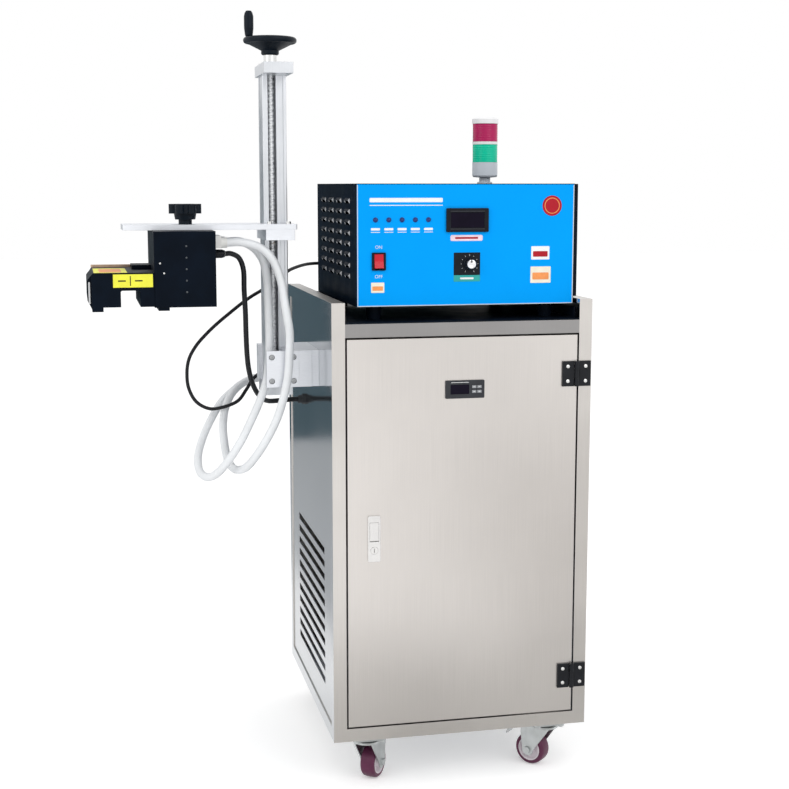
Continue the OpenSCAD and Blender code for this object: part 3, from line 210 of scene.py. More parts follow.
def surface(name, colour, rough, metal=0.0, shift=0.08, size=9.0, stretch=None, grain=700.0, depth=0.1,
            ease=0.0008, rub_and_sheen=0.0, rub_and_sheen_colour=(0.6, 0.6, 0.6), coat=0.0, rough_shift=0.15, shine=0.5):
    material = bpy.data.materials.new(name)
    material.use_nodes = True
    tree = material.node_tree
    shader = tree.nodes["Principled BSDF"]
    shader.inputs["Metallic"].default_value = metal
    shader.inputs["Specular IOR Level"].default_value = shine
    shader.inputs["Coat Weight"].default_value = coat
    shader.inputs["Coat Roughness"].default_value = 0.08

    tone = tree.nodes.new("ShaderNodeGroup")
    tone.node_tree = uneven
    tone.inputs["Size"].default_value = size
    edges = tree.nodes.new("ShaderNodeGroup")
    edges.node_tree = wear_and_sheen_edges
    edges.inputs["Radius"].default_value = ease
    texture = tree.nodes.new("ShaderNodeGroup")
    if stretch:
        texture.node_tree = brushed
        texture.inputs["Stretch"].default_value = stretch
    else:
        texture.node_tree = uneven
        texture.inputs["Size"].default_value = grain

    shade = tree.nodes.new("ShaderNodeMix")
    shade.data_type = "RGBA"
    shade.inputs[colour_a].default_value = tinted(colour, 1 - shift)
    shade.inputs[colour_b].default_value = tinted(colour, 1 + shift)
    tree.links.new(tone.outputs["Tone"], shade.inputs[0])
    last = shade.outputs[colour_out]
    if stretch:
        streak = tree.nodes.new("ShaderNodeMix")
        streak.data_type = "RGBA"
        streak.blend_type = "MULTIPLY"
        streak.inputs[0].default_value = 0.25
        tree.links.new(last, streak.inputs[colour_a])
        tree.links.new(texture.outputs["Marks"], streak.inputs[colour_b])
        lift = tree.nodes.new("ShaderNodeMix")
        lift.data_type = "RGBA"
        lift.inputs[0].default_value = 0.5
        tree.links.new(last, lift.inputs[colour_a])
        tree.links.new(streak.outputs[colour_out], lift.inputs[colour_b])
        last = lift.outputs[colour_out]
    # Edges take a lighter colour, partly worn paint and partly a painted edge highlight standing in for the
    # sheen the low-shine blacks lose.
    if rub_and_sheen:
        rubbed_and_sheened = tree.nodes.new("ShaderNodeMix")
        rubbed_and_sheened.data_type = "RGBA"
        rubbed_and_sheened.inputs[colour_b].default_value = (*rub_and_sheen_colour, 1)
        amount = tree.nodes.new("ShaderNodeMath")
        amount.operation = "MULTIPLY"
        amount.inputs[1].default_value = rub_and_sheen
        tree.links.new(edges.outputs["Edge"], amount.inputs[0])
        tree.links.new(amount.outputs[0], rubbed_and_sheened.inputs[0])
        tree.links.new(last, rubbed_and_sheened.inputs[colour_a])
        last = rubbed_and_sheened.outputs[colour_out]
    tree.links.new(last, shader.inputs["Base Color"])

    dull = tree.nodes.new("ShaderNodeMapRange")
    dull.inputs["To Min"].default_value = rough * (1 - rough_shift)
    dull.inputs["To Max"].default_value = rough * (1 + rough_shift)
    tree.links.new(tone.outputs["Tone"], dull.inputs["Value"])
    tree.links.new(dull.outputs["Result"], shader.inputs["Roughness"])

    relief = tree.nodes.new("ShaderNodeBump")
    relief.inputs["Strength"].default_value = depth
    relief.inputs["Distance"].default_value = 0.0004
    tree.links.new(texture.outputs[0], relief.inputs["Height"])
    tree.links.new(edges.outputs["Normal"], relief.inputs["Normal"])
    tree.links.new(relief.outputs["Normal"], shader.inputs["Normal"])
    return material


def worked(tree, operation, first, second):
    step = tree.nodes.new("ShaderNodeMath")
    step.operation = operation
    tree.links.new(first, step.inputs[0])
    if isinstance(second, float):
        step.inputs[1].default_value = second
    else:
        tree.links.new(second, step.inputs[1])
    return step.outputs[0]


def axes_of(tree, vector):
    parts = tree.nodes.new("ShaderNodeSeparateXYZ")
    tree.links.new(vector, parts.inputs[0])
    return parts.outputs


def retone(material, mask, colour, blend="MIX"):
    tree = material.node_tree
    base = tree.nodes["Principled BSDF"].inputs["Base Color"]
    tone = tree.nodes.new("ShaderNodeMix")
    tone.data_type = "RGBA"
    tone.blend_type = blend
    tone.inputs[colour_b].default_value = (*colour, 1)
    tree.links.new(mask, tone.inputs[0])
    tree.links.new(base.links[0].from_socket, tone.inputs[colour_a])
    tree.links.new(tone.outputs[colour_out], base)


def reset(material, socket, mask, value):
    tree = material.node_tree
    target = tree.nodes["Principled BSDF"].inputs[socket]
    blend = tree.nodes.new("ShaderNodeMix")
    blend.inputs[number_a].default_value = target.default_value
    blend.inputs[number_b].default_value = value
    tree.links.new(mask, blend.inputs[0])
    if target.links:
        tree.links.new(target.links[0].from_socket, blend.inputs[number_a])
    tree.links.new(blend.outputs[0], target)


def dress(material, *nodes):
    for node in nodes:
        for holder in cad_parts[node].material_slots:
            holder.material = material


steel_front = surface("brushed_stainless", (0.70, 0.665, 0.635), rough=0.31, metal=1, shift=0.05, size=3.0,
                      stretch=(900, 900, 7), depth=0.10, rough_shift=0.07)
steel_tube = surface("stainless_tube", (0.66, 0.63, 0.60), rough=0.31, metal=1, shift=0.06, size=6.0,
                     stretch=(700, 700, 9), depth=0.12, rough_shift=0.07)
side_tone, side_rough = (0.46, 0.48, 0.50), 0.14
steel_side = surface("polished_stainless", side_tone, rough=side_rough, metal=1, shift=0.07, size=4.0,
                     stretch=(900, 900, 9), depth=0.05)
black_coat = surface("black_powder_coat", (0.003, 0.006, 0.012), rough=0.42, shift=0.2, size=20, grain=900,
                     depth=0.05, rub_and_sheen=0.25, rub_and_sheen_colour=(0.06, 0.07, 0.09), shine=0.06)
post_inside, top_rail_low, sheet_inside, sideways = 0.2249, 0.8, 0.2456, 0.7
# The top rails between the posts are multiplied down to about half their colour: a painted darker reflection.
rail_tree = steel_tube.node_tree
rail_axes = axes_of(rail_tree, rail_tree.nodes.new("ShaderNodeTexCoord").outputs["Object"])
rail_reach = worked(rail_tree, "ABSOLUTE", rail_axes["X"], 0.0)
rail_between = worked(rail_tree, "LESS_THAN", rail_reach, post_inside)
painted_dark_top_rail = worked(rail_tree, "GREATER_THAN", rail_axes["Z"], top_rail_low)
retone(steel_tube, worked(rail_tree, "MULTIPLY", rail_between, painted_dark_top_rail), (0.50, 0.51, 0.53), "MULTIPLY")
rail_facing = axes_of(rail_tree, rail_tree.nodes.new("ShaderNodeNewGeometry").outputs["Normal"])
rail_turned = worked(rail_tree, "ABSOLUTE", rail_facing["X"], 0.0)
rail_aside = worked(rail_tree, "GREATER_THAN", rail_turned, sideways)
retone(steel_tube, rail_aside, side_tone)
reset(steel_tube, "Roughness", rail_aside, side_rough)
sheet_tree = steel_side.node_tree
sheet_axes = axes_of(sheet_tree, sheet_tree.nodes.new("ShaderNodeTexCoord").outputs["Object"])
sheet_reach = worked(sheet_tree, "ABSOLUTE", sheet_axes["X"], 0.0)
sheet_inner = worked(sheet_tree, "LESS_THAN", sheet_reach, sheet_inside)
retone(steel_side, sheet_inner, (0.70, 0.72, 0.75))
reset(steel_side, "Roughness", sheet_inner, 0.55)
reset(steel_side, "Metallic", sheet_inner, 0.0)
dress(steel_tube, "cabinet_frame")
dress(steel_side, "left_side_panel", "right_side_panel", "floor_panel")
dress(steel_front, "back_panel", "door")
dress(black_coat, "top_tray")


# Cooling unit behind the door: a moulded water tank, a painted pump, a welded
# compressor shell and a finned aluminium condenser with a moulded fan.
tank_plastic = surface("tank_polythene", (0.78, 0.82, 0.85), rough=0.42, shift=0.05, size=5, grain=400,
                       depth=0.08)
pump_paint = surface("pump_enamel", (0.05, 0.16, 0.32), rough=0.35, shift=0.1, size=12, grain=300,
                     depth=0.1, rub_and_sheen=0.4, coat=0.2)
fin_metal = surface("fin_aluminium", (0.66, 0.68, 0.70), rough=0.42, metal=1, shift=0.08, size=10,
                    stretch=(40, 500, 500), depth=0.1)
fan_plastic = surface("fan_moulding", (0.07, 0.07, 0.075), rough=0.5, shift=0.1, size=10, grain=800,
                      depth=0.1)
dress(tank_plastic, "water_tank")
dress(pump_paint, "water_pump")
dress(black_coat, "compressor")
dress(fin_metal, "condenser")
dress(fan_plastic, "fan_rotor")


# Castors: zinc-plated pressed forks under bolted plates, each with a burgundy
# polyurethane tread bonded to a pale moulded rim; a foot pedal brakes the front right wheel.
cabinet_width, cabinet_depth, castor_height = 500, 540, 95


def from_corner(x, y, z):
    """Millimetres from the cabinet's front left bottom corner to a place in the shared frame."""
    place = Vector((x - cabinet_width / 2, y - cabinet_depth / 2, z + castor_height))
    return place / 1000


def start_piece():
    bpy.ops.object.select_all(action="DESELECT")


def take_up(piece):
    start_piece()
    piece.select_set(True)
    bpy.context.view_layer.objects.active = piece


def settle(piece, name, material, body, smooth=35):
    """Puts a finished piece's place into its mesh, and gives it its material, slot and body."""
    piece.name = name
    piece.data.name = name
    take_up(piece)
    bpy.ops.object.transform_apply(location=True, rotation=True, scale=True)
    bpy.ops.object.shade_smooth_by_angle(angle=math.radians(smooth))
    piece.data.materials.clear()
    piece.data.materials.append(material)
    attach(piece, body)
    return piece


def turned(rings, centre, along=(0, 0, 1), sides=40, hollow=False):
    """Rings of radius and height in millimetres, drawn out one after the other from a flat circle."""
    start_piece()
    radius, height = rings[0]
    bpy.ops.mesh.primitive_circle_add(
        vertices=sides, radius=radius / 1000, fill_type="NOTHING" if hollow else "NGON",
        location=(0, 0, height / 1000))
    piece = bpy.context.object
    bpy.ops.object.transform_apply(location=True, rotation=True, scale=True)
    bpy.ops.object.mode_set(mode="EDIT")
    bpy.ops.mesh.select_all(action="SELECT")
    for wide, high in rings[1:]:
        rise = (0, 0, (high - height) / 1000)
        bpy.ops.mesh.extrude_region_move(TRANSFORM_OT_translate={"value": rise})
        grow = wide / radius
        bpy.ops.transform.resize(value=(grow, grow, 1), center_override=(0, 0, high / 1000))
        radius, height = wide, high
    if hollow:
        mesh = bmesh.from_edit_mesh(piece.data)
        last_ring = len(mesh.verts) - sides
        bpy.ops.mesh.select_mode(type="EDGE")
        for face in mesh.faces:
            face.select_set(False)
        for edge in mesh.edges:
            ends = sorted(v.index for v in edge.verts)
            edge.select_set(ends[1] < sides or ends[0] >= last_ring)
        bmesh.update_edit_mesh(piece.data)
        bpy.ops.mesh.bridge_edge_loops()
        bpy.ops.mesh.select_mode(type="VERT")
    bpy.ops.mesh.select_all(action="SELECT")
    bpy.ops.mesh.normals_make_consistent(inside=False)
    bpy.ops.object.mode_set(mode="OBJECT")
    piece.rotation_euler = Vector(along).to_track_quat("Z", "Y").to_euler()
    piece.location = centre
    return piece


def copied(model, name, centre, along, material, body, smooth=35):
    piece = model.copy()
    piece.data = model.data.copy()
    bpy.context.collection.objects.link(piece)
    piece.rotation_euler = Vector(along).to_track_quat("Z", "Y").to_euler()
    piece.location = centre
    return settle(piece, name, material, body, smooth)


zinc = surface("zinc_plate", (0.50, 0.52, 0.52), rough=0.36, metal=1, shift=0.12, size=40, grain=160,
               depth=0.12, ease=0.0006)
tread_urethane = surface("burgundy_urethane", (0.10, 0.018, 0.055), rough=0.42, shift=0.15, size=30,
                         grain=600, depth=0.08, shine=0.3)
rim_nylon = surface("rim_nylon", (0.80, 0.74, 0.78), rough=0.40, shift=0.05, size=40, grain=500, depth=0.06)
dress(zinc, "castor_plates", "fork_fl", "fork_fr", "fork_rl", "fork_rr", "brake_lever")
tread_rings = [(23.5, -14.1), (26, -14.8), (28.6, -14.1), (30.6, -11.9), (31.4, -8.5), (31.5, 0), (31.4, 8.5),
               (30.6, 11.9), (28.6, 14.1), (26, 14.8), (23.5, 14.1), (23, 10), (23, -10)]
rim_rings = [(4.6, -16.9), (9, -16.9), (10.5, -16.1), (11, -5), (13, -4), (18, -4), (20.5, -5),
             (21.5, -13.9), (22, -14.5), (23.4, -14.3), (23.2, -10), (23.2, 10), (23.4, 14.3), (22, 14.5),
             (21.5, 13.9), (20.5, 5), (18, 4), (13, 4), (11, 5), (10.5, 16.1), (9, 16.9), (4.6, 16.9)]
tread_model = turned(tread_rings, (0, 0, 0), sides=56, hollow=True)
rim_model = turned(rim_rings, (0, 0, 0), sides=48, hollow=True)
bolt_model = turned([(6.5, -0.2), (6.5, -3.4), (5.6, -4.4)], (0, 0, 0), sides=6)
fork_trail, hub_height, bolt_reach, plate_low = 28, -63.5, 24, -3
castors = (("fl", 70, 32, 54), ("fr", 430, 32, 132), ("rl", 70, 508, 80), ("rr", 430, 508, 100))
for corner, x, y, trail in castors:
    heading = math.radians(trail)
    hub = from_corner(x + fork_trail * math.cos(heading), y + fork_trail * math.sin(heading), hub_height)
    axle = (-math.sin(heading), math.cos(heading), 0)
    roller = "roller_" + corner
    tread = copied(tread_model, "tread_" + corner, hub, axle, tread_urethane, roller, smooth=50)
    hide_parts("wheel_" + corner)
    copied(rim_model, "rim_" + corner, hub, axle, rim_nylon, roller)
    for dy in (-bolt_reach, bolt_reach):
        for dx in (-bolt_reach, bolt_reach):
            name = f"plate_bolt_{corner}_{dx + bolt_reach:02d}{dy + bolt_reach:02d}"
            seat = from_corner(x + dx, y + dy, plate_low)
            copied(bolt_model, name, seat, (0, 0, 1), zinc, "cabinet", smooth=20)
for model in (tread_model, rim_model, bolt_model):
    bpy.data.objects.remove(model)


# Door: one folded stainless sheet on two black die-cast hinges, each held by four
# pale countersunk screws. A moulded controller and a chromed paddle lock sit in cut-outs.
def cut_away(piece, cutter, how="DIFFERENCE"):
    take_up(piece)
    cut = piece.modifiers.new("cut", "BOOLEAN")
    cut.object = cutter
    cut.operation = how
    cut.solver = "EXACT"
    bpy.ops.object.modifier_apply(modifier=cut.name)
    bpy.data.objects.remove(cutter)
    return piece


def slotted_screw(radius, height):
    dome = [(radius, 0), (radius, height * 0.3), (radius * 0.86, height * 0.75), (radius * 0.5, height)]
    head = turned(dome, (0, 0, 0), sides=24)
    start_piece()
    bpy.ops.mesh.primitive_cube_add(size=1, location=(0, 0, height / 1000))
    blade = bpy.context.object
    blade.scale = (radius * 2.4 / 1000, radius * 0.28 / 1000, height / 1000)
    return cut_away(head, blade)


def flat_blank(wide, high):
    """A flat sheet about the origin, in millimetres, left in edit mode with all of it selected."""
    start_piece()
    bpy.ops.mesh.primitive_plane_add(size=1)
    piece = bpy.context.object
    piece.scale = (wide / 1000, high / 1000, 1)
    bpy.ops.object.transform_apply(location=True, rotation=True, scale=True)
    bpy.ops.object.mode_set(mode="EDIT")
    bpy.ops.mesh.select_all(action="SELECT")
    return piece


def thicken(thick):
    bpy.ops.mesh.select_all(action="SELECT")
    bpy.ops.mesh.extrude_region_move(TRANSFORM_OT_translate={"value": (0, 0, thick / 1000)})
    bpy.ops.mesh.select_all(action="SELECT")
    bpy.ops.mesh.normals_make_consistent(inside=False)
    bpy.ops.object.mode_set(mode="OBJECT")


def field(name, seat, size, material, body, thick=0.3, corner=1.0, facing="front"):
    """A flat printed or moulded field with round corners, or a painted highlight, seated by its back face."""
    piece = flat_blank(*size)
    bpy.ops.mesh.bevel(offset=corner / 1000, segments=5, affect="VERTICES")
    thicken(thick)
    if facing == "front":
        piece.rotation_euler = (math.radians(90), 0, 0)
    piece.location = from_corner(*seat)
    return settle(piece, name, material, body)


hinge_black = surface("hinge_black", (0.010, 0.011, 0.014), rough=0.42, shift=0.15, size=60, grain=500,
                      depth=0.15, rub_and_sheen=0.2, rub_and_sheen_colour=(0.16, 0.16, 0.16), shine=0.2)
chrome = surface("lock_chrome", (0.66, 0.65, 0.64), rough=0.20, metal=1, shift=0.05, size=50, grain=300,
                 depth=0.03, ease=0.0012)
screw_steel = surface("screw_steel", (0.74, 0.74, 0.73), rough=0.28, metal=1, shift=0.08, size=90,
                      grain=400, depth=0.08, ease=0.0003)
bezel_grey = surface("bezel_grey", (0.032, 0.034, 0.04), rough=0.42, shift=0.12, size=60, grain=900,
                     depth=0.12, ease=0.0006, shine=0.25)
key_grey = surface("key_grey", (0.30, 0.31, 0.33), rough=0.5, shift=0.08, size=80, grain=900, depth=0.1,
                   ease=0.0005)
smoked_glass = surface("smoked_glass", (0.006, 0.004, 0.012), rough=0.08, shift=0.3, size=30, grain=100,
                       depth=0.01, shine=0.07)
white_print_and_highlight = surface("white_print_and_painted_highlight", (0.86, 0.87, 0.88), rough=0.5, shift=0.04, size=60, grain=700,
                     depth=0.05)
dress(hinge_black, "frame_hinges", "door_hinges")
dress(chrome, "lock_plate", "lock_paddle", "key_cylinder")
dress(bezel_grey, "controller")
dress(key_grey, "key_set", "key_up", "key_down", "key_reset")
hinge_screw = slotted_screw(3.6, 1.4)
hinge_face, hinge_levels, screw_rise = -4, (100, 694), 14
for hinge in hinge_levels:
    for z in (hinge - screw_rise, hinge + screw_rise):
        for side, x, body in (("frame", 487.5, "cabinet"), ("door", 452.5, "door_leaf")):
            seat = from_corner(x, hinge_face, z)
            copied(hinge_screw, f"hinge_screw_{side}_{z}", seat, (0.1, -1, 0.1), screw_steel, body)
bpy.data.objects.remove(hinge_screw)
window_x, window_face, bezel_face, key_face = 241.5, -1.8, -3, -3.8
field("controller_window", (window_x, window_face, 670.5), (35.6, 17.6), smoked_glass,
      "door_leaf", thick=0.7, corner=0.6)
keys = (("set", 269, 675), ("up", 279, 675), ("reset", 269, 666), ("down", 279, 666))
for name, x, z in keys:
    field("key_mark_" + name, (x, key_face, z), (3.6, 1.0), white_print_and_highlight, name + "_key",
          thick=0.12, corner=0.3)
field("controller_line", (window_x, bezel_face, 683.6), (34, 0.9), white_print_and_highlight, "door_leaf",
      thick=0.12, corner=0.3)


# Power box: a black folded cover over a base with a blue front panel. Lamps, meter, switch and
# dial are fixed through the panel; plain printed fields and stickers lie on its face.
panel_blue = surface("blue_panel", (0.0, 0.345, 0.94), rough=0.42, shift=0.05, size=4, grain=700,
                     depth=0.06, ease=0.0006, shine=0.04)
gloss_black = surface("gloss_black_plastic", (0.007, 0.009, 0.014), rough=0.22, shift=0.2, size=50,
                      grain=700, depth=0.06, shine=0.15)
rocker_red = surface("rocker_red", (0.55, 0.008, 0.025), rough=0.22, shift=0.08, size=60, grain=400,
                     depth=0.04, shine=0.3)
lamp_blue = surface("lamp_lens", (0.006, 0.02, 0.16), rough=0.15, shift=0.1, size=200, grain=400,
                    depth=0.02, shine=0.5)
trim_grey = surface("panel_trim", (0.62, 0.68, 0.72), rough=0.35, shift=0.06, size=30, grain=600,
                    depth=0.06)
label_pink = surface("label_pink", (0.85, 0.66, 0.76), rough=0.5, shift=0.1, size=60, grain=600, depth=0.05)
label_red = surface("label_red", (0.42, 0.008, 0.02), rough=0.4, shift=0.06, size=60, grain=600, depth=0.05,
                    shine=0.2)
label_cream = surface("label_cream", (0.86, 0.80, 0.66), rough=0.5, shift=0.06, size=60, grain=600,
                      depth=0.05)
label_orange = surface("label_orange", (0.86, 0.30, 0.08), rough=0.45, shift=0.12, size=80, grain=600,
                       depth=0.05)
label_teal = surface("label_teal", (0.01, 0.36, 0.34), rough=0.45, shift=0.06, size=60, grain=600,
                     depth=0.05)
label_yellow = surface("label_yellow", (0.86, 0.84, 0.05), rough=0.45, shift=0.05, size=60, grain=600,
                       depth=0.05)
knob_metal = surface("knob_cap", (0.82, 0.82, 0.84), rough=0.25, metal=1, shift=0.05, size=200, grain=300,
                     depth=0.05)
cover_black = surface("cover_black", (0.002, 0.006, 0.014), rough=0.42, shift=0.2, size=20, grain=900,
                      depth=0.05, rub_and_sheen=0.2, rub_and_sheen_colour=(0.05, 0.065, 0.09), shine=0.015)
# The forward-facing ends of the louvre hoods beyond the cover walls are painted near-white: a painted glint.
cover_tree = cover_black.node_tree
cover_axes = axes_of(cover_tree, cover_tree.nodes.new("ShaderNodeTexCoord").outputs["Object"])
cover_facing = axes_of(cover_tree, cover_tree.nodes.new("ShaderNodeNewGeometry").outputs["Normal"])
box_middle, louvre_reach, frontwards = 0.012, 0.2102, -0.8
cover_from_middle = worked(cover_tree, "SUBTRACT", cover_axes["X"], box_middle)
cover_aside = worked(cover_tree, "ABSOLUTE", cover_from_middle, 0.0)
cover_outside = worked(cover_tree, "GREATER_THAN", cover_aside, louvre_reach)
painted_glint_front = worked(cover_tree, "LESS_THAN", cover_facing["Y"], frontwards)
retone(cover_black, worked(cover_tree, "MULTIPLY", cover_outside, painted_glint_front), (0.80, 0.82, 0.84))
dress(cover_black, "power_case")
dress(black_coat, "power_base")
dress(panel_blue, "front_panel")
dress(gloss_black, "panel_fittings", "power_knob", "rear_glands")
dress(rocker_red, "rocker")
field("cover_lip", (475.1, 31.2, 944), (6, 211), black_coat, "cabinet", thick=1.2, corner=0.5)

panel_face, label_face, panel_middle = 29, 28.7, 262
fin_wide, fin_thick, fin_high, fin_pitch, fin_count = 90, 3, 190, 12.5, 27
web_thick, web_deep, sink_front, sink_low = 8, 330, 80, 830
heat_sink = flat_blank(fin_wide, fin_thick)
thicken(fin_high)
fins = heat_sink.modifiers.new("fins", "ARRAY")
fins.count = fin_count
fins.use_relative_offset = False
fins.use_constant_offset = True
fins.constant_offset_displace = (0, fin_pitch / 1000, 0)
bpy.ops.object.modifier_apply(modifier=fins.name)
sink_middle = (0, fin_pitch * (fin_count - 1) / 2000, fin_high / 2000)
bpy.ops.mesh.primitive_cube_add(size=1, location=sink_middle)
sink_web = bpy.context.object
sink_web.scale = (web_thick / 1000, web_deep / 1000, fin_high / 1000)
cut_away(heat_sink, sink_web, "UNION")
heat_sink.location = from_corner(panel_middle, sink_front, sink_low)
settle(heat_sink, "heat_sink", fan_plastic, "cabinet", 20)

trim_wide, trim_high, trim_edge, trim_thick, trim_z = 416.6, 223.2, 1.6, 0.5, 936.75
trim = flat_blank(trim_wide, trim_high)
bpy.ops.mesh.inset(thickness=trim_edge / 1000)
bpy.ops.mesh.delete(type="ONLY_FACE")
trim_mesh = bmesh.from_edit_mesh(trim.data)
for side in trim_mesh.faces:
    side.select_set(side.calc_center_median().y > trim_high / 2000 - trim_edge / 1000)
bmesh.update_edit_mesh(trim.data)
bpy.ops.mesh.delete(type="FACE")
thicken(trim_thick)
trim.rotation_euler = (math.radians(90), 0, 0)
trim.location = from_corner(panel_middle, panel_face, trim_z)
settle(trim, "panel_trim", trim_grey, "cabinet")

to_front = (0, -1, 0)
lamp_rings = [(4.6, 0), (4.6, 1.0), (4.2, 1.5), (3.4, 1.5), (3.4, 2.2), (2.9, 3.0), (1.8, 3.6), (0.6, 3.8)]
lamp = turned(lamp_rings, (0, 0, 0), sides=28)
lamp_count, first_lamp, lamp_pitch = 5, 88, 25
lamp_z, caption_z, underline_z, caption_wide = 984, 967, 961.5, 17
for k in range(lamp_count):
    x = first_lamp + lamp_pitch * k
    seat = from_corner(x, panel_face, lamp_z)
    copied(lamp, f"lamp_lens_{k + 1}", seat, to_front, lamp_blue, "cabinet")
    field(f"lamp_caption_{k + 1}", (x, panel_face, caption_z), (caption_wide, 4.4), white_print_and_highlight,
          "cabinet")
    field(f"lamp_underline_{k + 1}", (x, panel_face, underline_z), (caption_wide, 1.2), white_print_and_highlight,
          "cabinet", thick=0.3, corner=0.4)
bpy.data.objects.remove(lamp)
title_middle, title_wide = 146, 138
field("title_stripe", (title_middle, panel_face, 1020), (title_wide, 8), white_print_and_highlight,
      "cabinet", thick=0.3, corner=2)
field("title_underline", (title_middle, panel_face, 1010.5), (title_wide, 1.6), white_print_and_highlight,
      "cabinet", thick=0.3, corner=0.6)
meter_z, glass_face, ridge_face = 983, 26.5, 25
field("meter_glass", (panel_middle, glass_face, meter_z), (63.6, 27.6), smoked_glass,
      "cabinet", thick=0.8, corner=0.8)
for z in (966.6, 999.4):
    field(f"meter_ridge_{int(z)}", (panel_middle, ridge_face, z), (66, 1.4), bezel_grey,
          "cabinet", thick=0.5, corner=0.5)
label_middle, label_z = 261, 950
field("meter_label", (label_middle, panel_face, label_z), (62, 11), label_pink, "cabinet",
      thick=0.3, corner=3)
field("meter_label_line", (label_middle, label_face, label_z), (44, 3.4), label_red,
      "cabinet", thick=0.15, corner=1)
dial_x, dial_z, strip_z, dial_wide = 267, 902, 875, 51
field("dial_plate", (panel_middle, panel_face, dial_z), (dial_wide, 42), gloss_black,
      "cabinet", thick=0.28, corner=1)
field("dial_strip", (panel_middle, panel_face, strip_z), (dial_wide, 12), label_teal,
      "cabinet", thick=0.3, corner=1)
field("dial_strip_line", (panel_middle, label_face, strip_z), (26, 3.6), white_print_and_highlight,
      "cabinet", thick=0.15, corner=1)
tick_count, first_tick, tick_step, tick_ring, tick_face = 11, 240, 30, 16.2, 28.72
long_tick, short_tick, tick_thick, tick_raise, knob_face = 3.4, 2.2, 0.6, 0.18, 13.7
for k in range(tick_count):
    turn = math.radians(first_tick - tick_step * k)
    tick = flat_blank(long_tick if k % 5 == 0 else short_tick, tick_thick)
    thicken(tick_raise)
    tick.rotation_euler = (math.radians(90), -turn, 0)
    aside, above = tick_ring * math.cos(turn), tick_ring * math.sin(turn)
    tick.location = from_corner(dial_x + aside, tick_face, dial_z + above)
    settle(tick, f"dial_tick_{k:02d}", white_print_and_highlight, "cabinet")
cap_rings = [(8.2, 0), (8.2, 0.5), (7.6, 0.9), (5.5, 0.9), (5.0, 0.6), (0.8, 0.6)]
dial_cap = turned(cap_rings, from_corner(dial_x, knob_face, dial_z), to_front)
settle(dial_cap, "dial_cap", knob_metal, "dial_knob")
disc_x, disc_z = 427, 1009
red_disc = turned([(19, 0), (19, 0.3)], from_corner(disc_x, panel_face, disc_z), to_front, sides=64)
settle(red_disc, "red_disc", label_red, "cabinet")
disc_ring_rings = [(15, 0), (15, 0.2), (13.4, 0.2), (13.4, 0)]
disc_ring = turned(disc_ring_rings, from_corner(disc_x, label_face, disc_z), to_front, sides=64, hollow=True)
settle(disc_ring, "red_disc_ring", label_orange, "cabinet")
stickers = (("upper", 405, 921, 36, 25, white_print_and_highlight, label_red),
            ("lower", 406, 880, 40, 31, label_cream, label_orange),
            ("left", 92, 860, 25, 19, label_cream, label_orange))
ink_face, ink_drop, ink_wide, ink_high = 28.75, 0.08, 0.8, 0.42
for name, x, z, wide, high, paper, ink in stickers:
    field(f"sticker_{name}", (x, panel_face, z), (wide, high), paper, "cabinet",
          thick=0.25, corner=1.5)
    print_size = (wide * ink_wide, high * ink_high)
    field(f"sticker_{name}_print", (x, ink_face, z - high * ink_drop), print_size, ink,
          "cabinet", thick=0.12, corner=1.5)
switch_x, letter_face, letter_high, letter_raise = 94, 28.9, 8.5, 0.1
for word, z in (("ON", 934), ("OFF", 880)):
    start_piece()
    bpy.ops.object.text_add()
    letters = bpy.context.object
    letters.data.body = word
    letters.data.size = letter_high / 1000
    letters.data.align_x = "CENTER"
    letters.data.align_y = "CENTER"
    letters.data.extrude = letter_raise / 1000
    bpy.ops.object.convert(target="MESH")
    letters = bpy.context.object
    letters.rotation_euler = (math.radians(90), 0, 0)
    letters.location = from_corner(switch_x, letter_face, z)
    settle(letters, "switch_" + word.lower(), white_print_and_highlight, "cabinet")


# Signal tower: two ribbed moulded lenses, green under red, stacked between the
# white plastic base, ring and cap and held by the rod through the middle.
white_plastic = surface("white_moulding", (0.82, 0.82, 0.80), rough=0.35, shift=0.04, size=20, grain=600,
                        depth=0.05, ease=0.0008)
lens_green = surface("green_lens", (0.0, 0.60, 0.37), rough=0.22, shift=0.08, size=40, grain=300,
                     depth=0.03, shine=0.25)
lens_red = surface("red_lens", (0.48, 0.012, 0.11), rough=0.22, shift=0.08, size=40, grain=300, depth=0.03,
                   shine=0.25)
tower_grey = surface("tower_grey", (0.58, 0.63, 0.69), rough=0.35, shift=0.04, size=20, grain=600,
                     depth=0.05, ease=0.0008)
grey_top = 1.2
tower_tree = tower_grey.node_tree
tower_axes = axes_of(tower_tree, tower_tree.nodes.new("ShaderNodeTexCoord").outputs["Object"])
retone(tower_grey, worked(tower_tree, "GREATER_THAN", tower_axes["Z"], grey_top), (0.84, 0.84, 0.85))
dress(tower_grey, "tower_body")
dress(white_plastic, "head_fittings")
lens_high, rib_count = 35, 10
end_radius, groove_radius, rib_radius = 23.8, 24.3, 24.7
rib_pitch = lens_high / rib_count
lens_rings = [(end_radius, 0)]
for k in range(rib_count):
    low = k * rib_pitch
    lens_rings += [(groove_radius, low + 0.15), (rib_radius, low + 0.9), (rib_radius, low + 2.4),
                   (groove_radius, low + 3.3)]
lens_rings.append((end_radius, lens_high))
lens_model = turned(lens_rings, (0, 0, 0), sides=64)
tower_x, tower_y, upwards = 353, 230, (0, 0, 1)
green = copied(lens_model, "lens_green", from_corner(tower_x, tower_y, 1092), upwards, lens_green,
               "cabinet", smooth=60)
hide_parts("tower_lenses")
copied(lens_model, "lens_red", from_corner(tower_x, tower_y, 1132.5), upwards, lens_red, "cabinet",
       smooth=60)
bpy.data.objects.remove(lens_model)


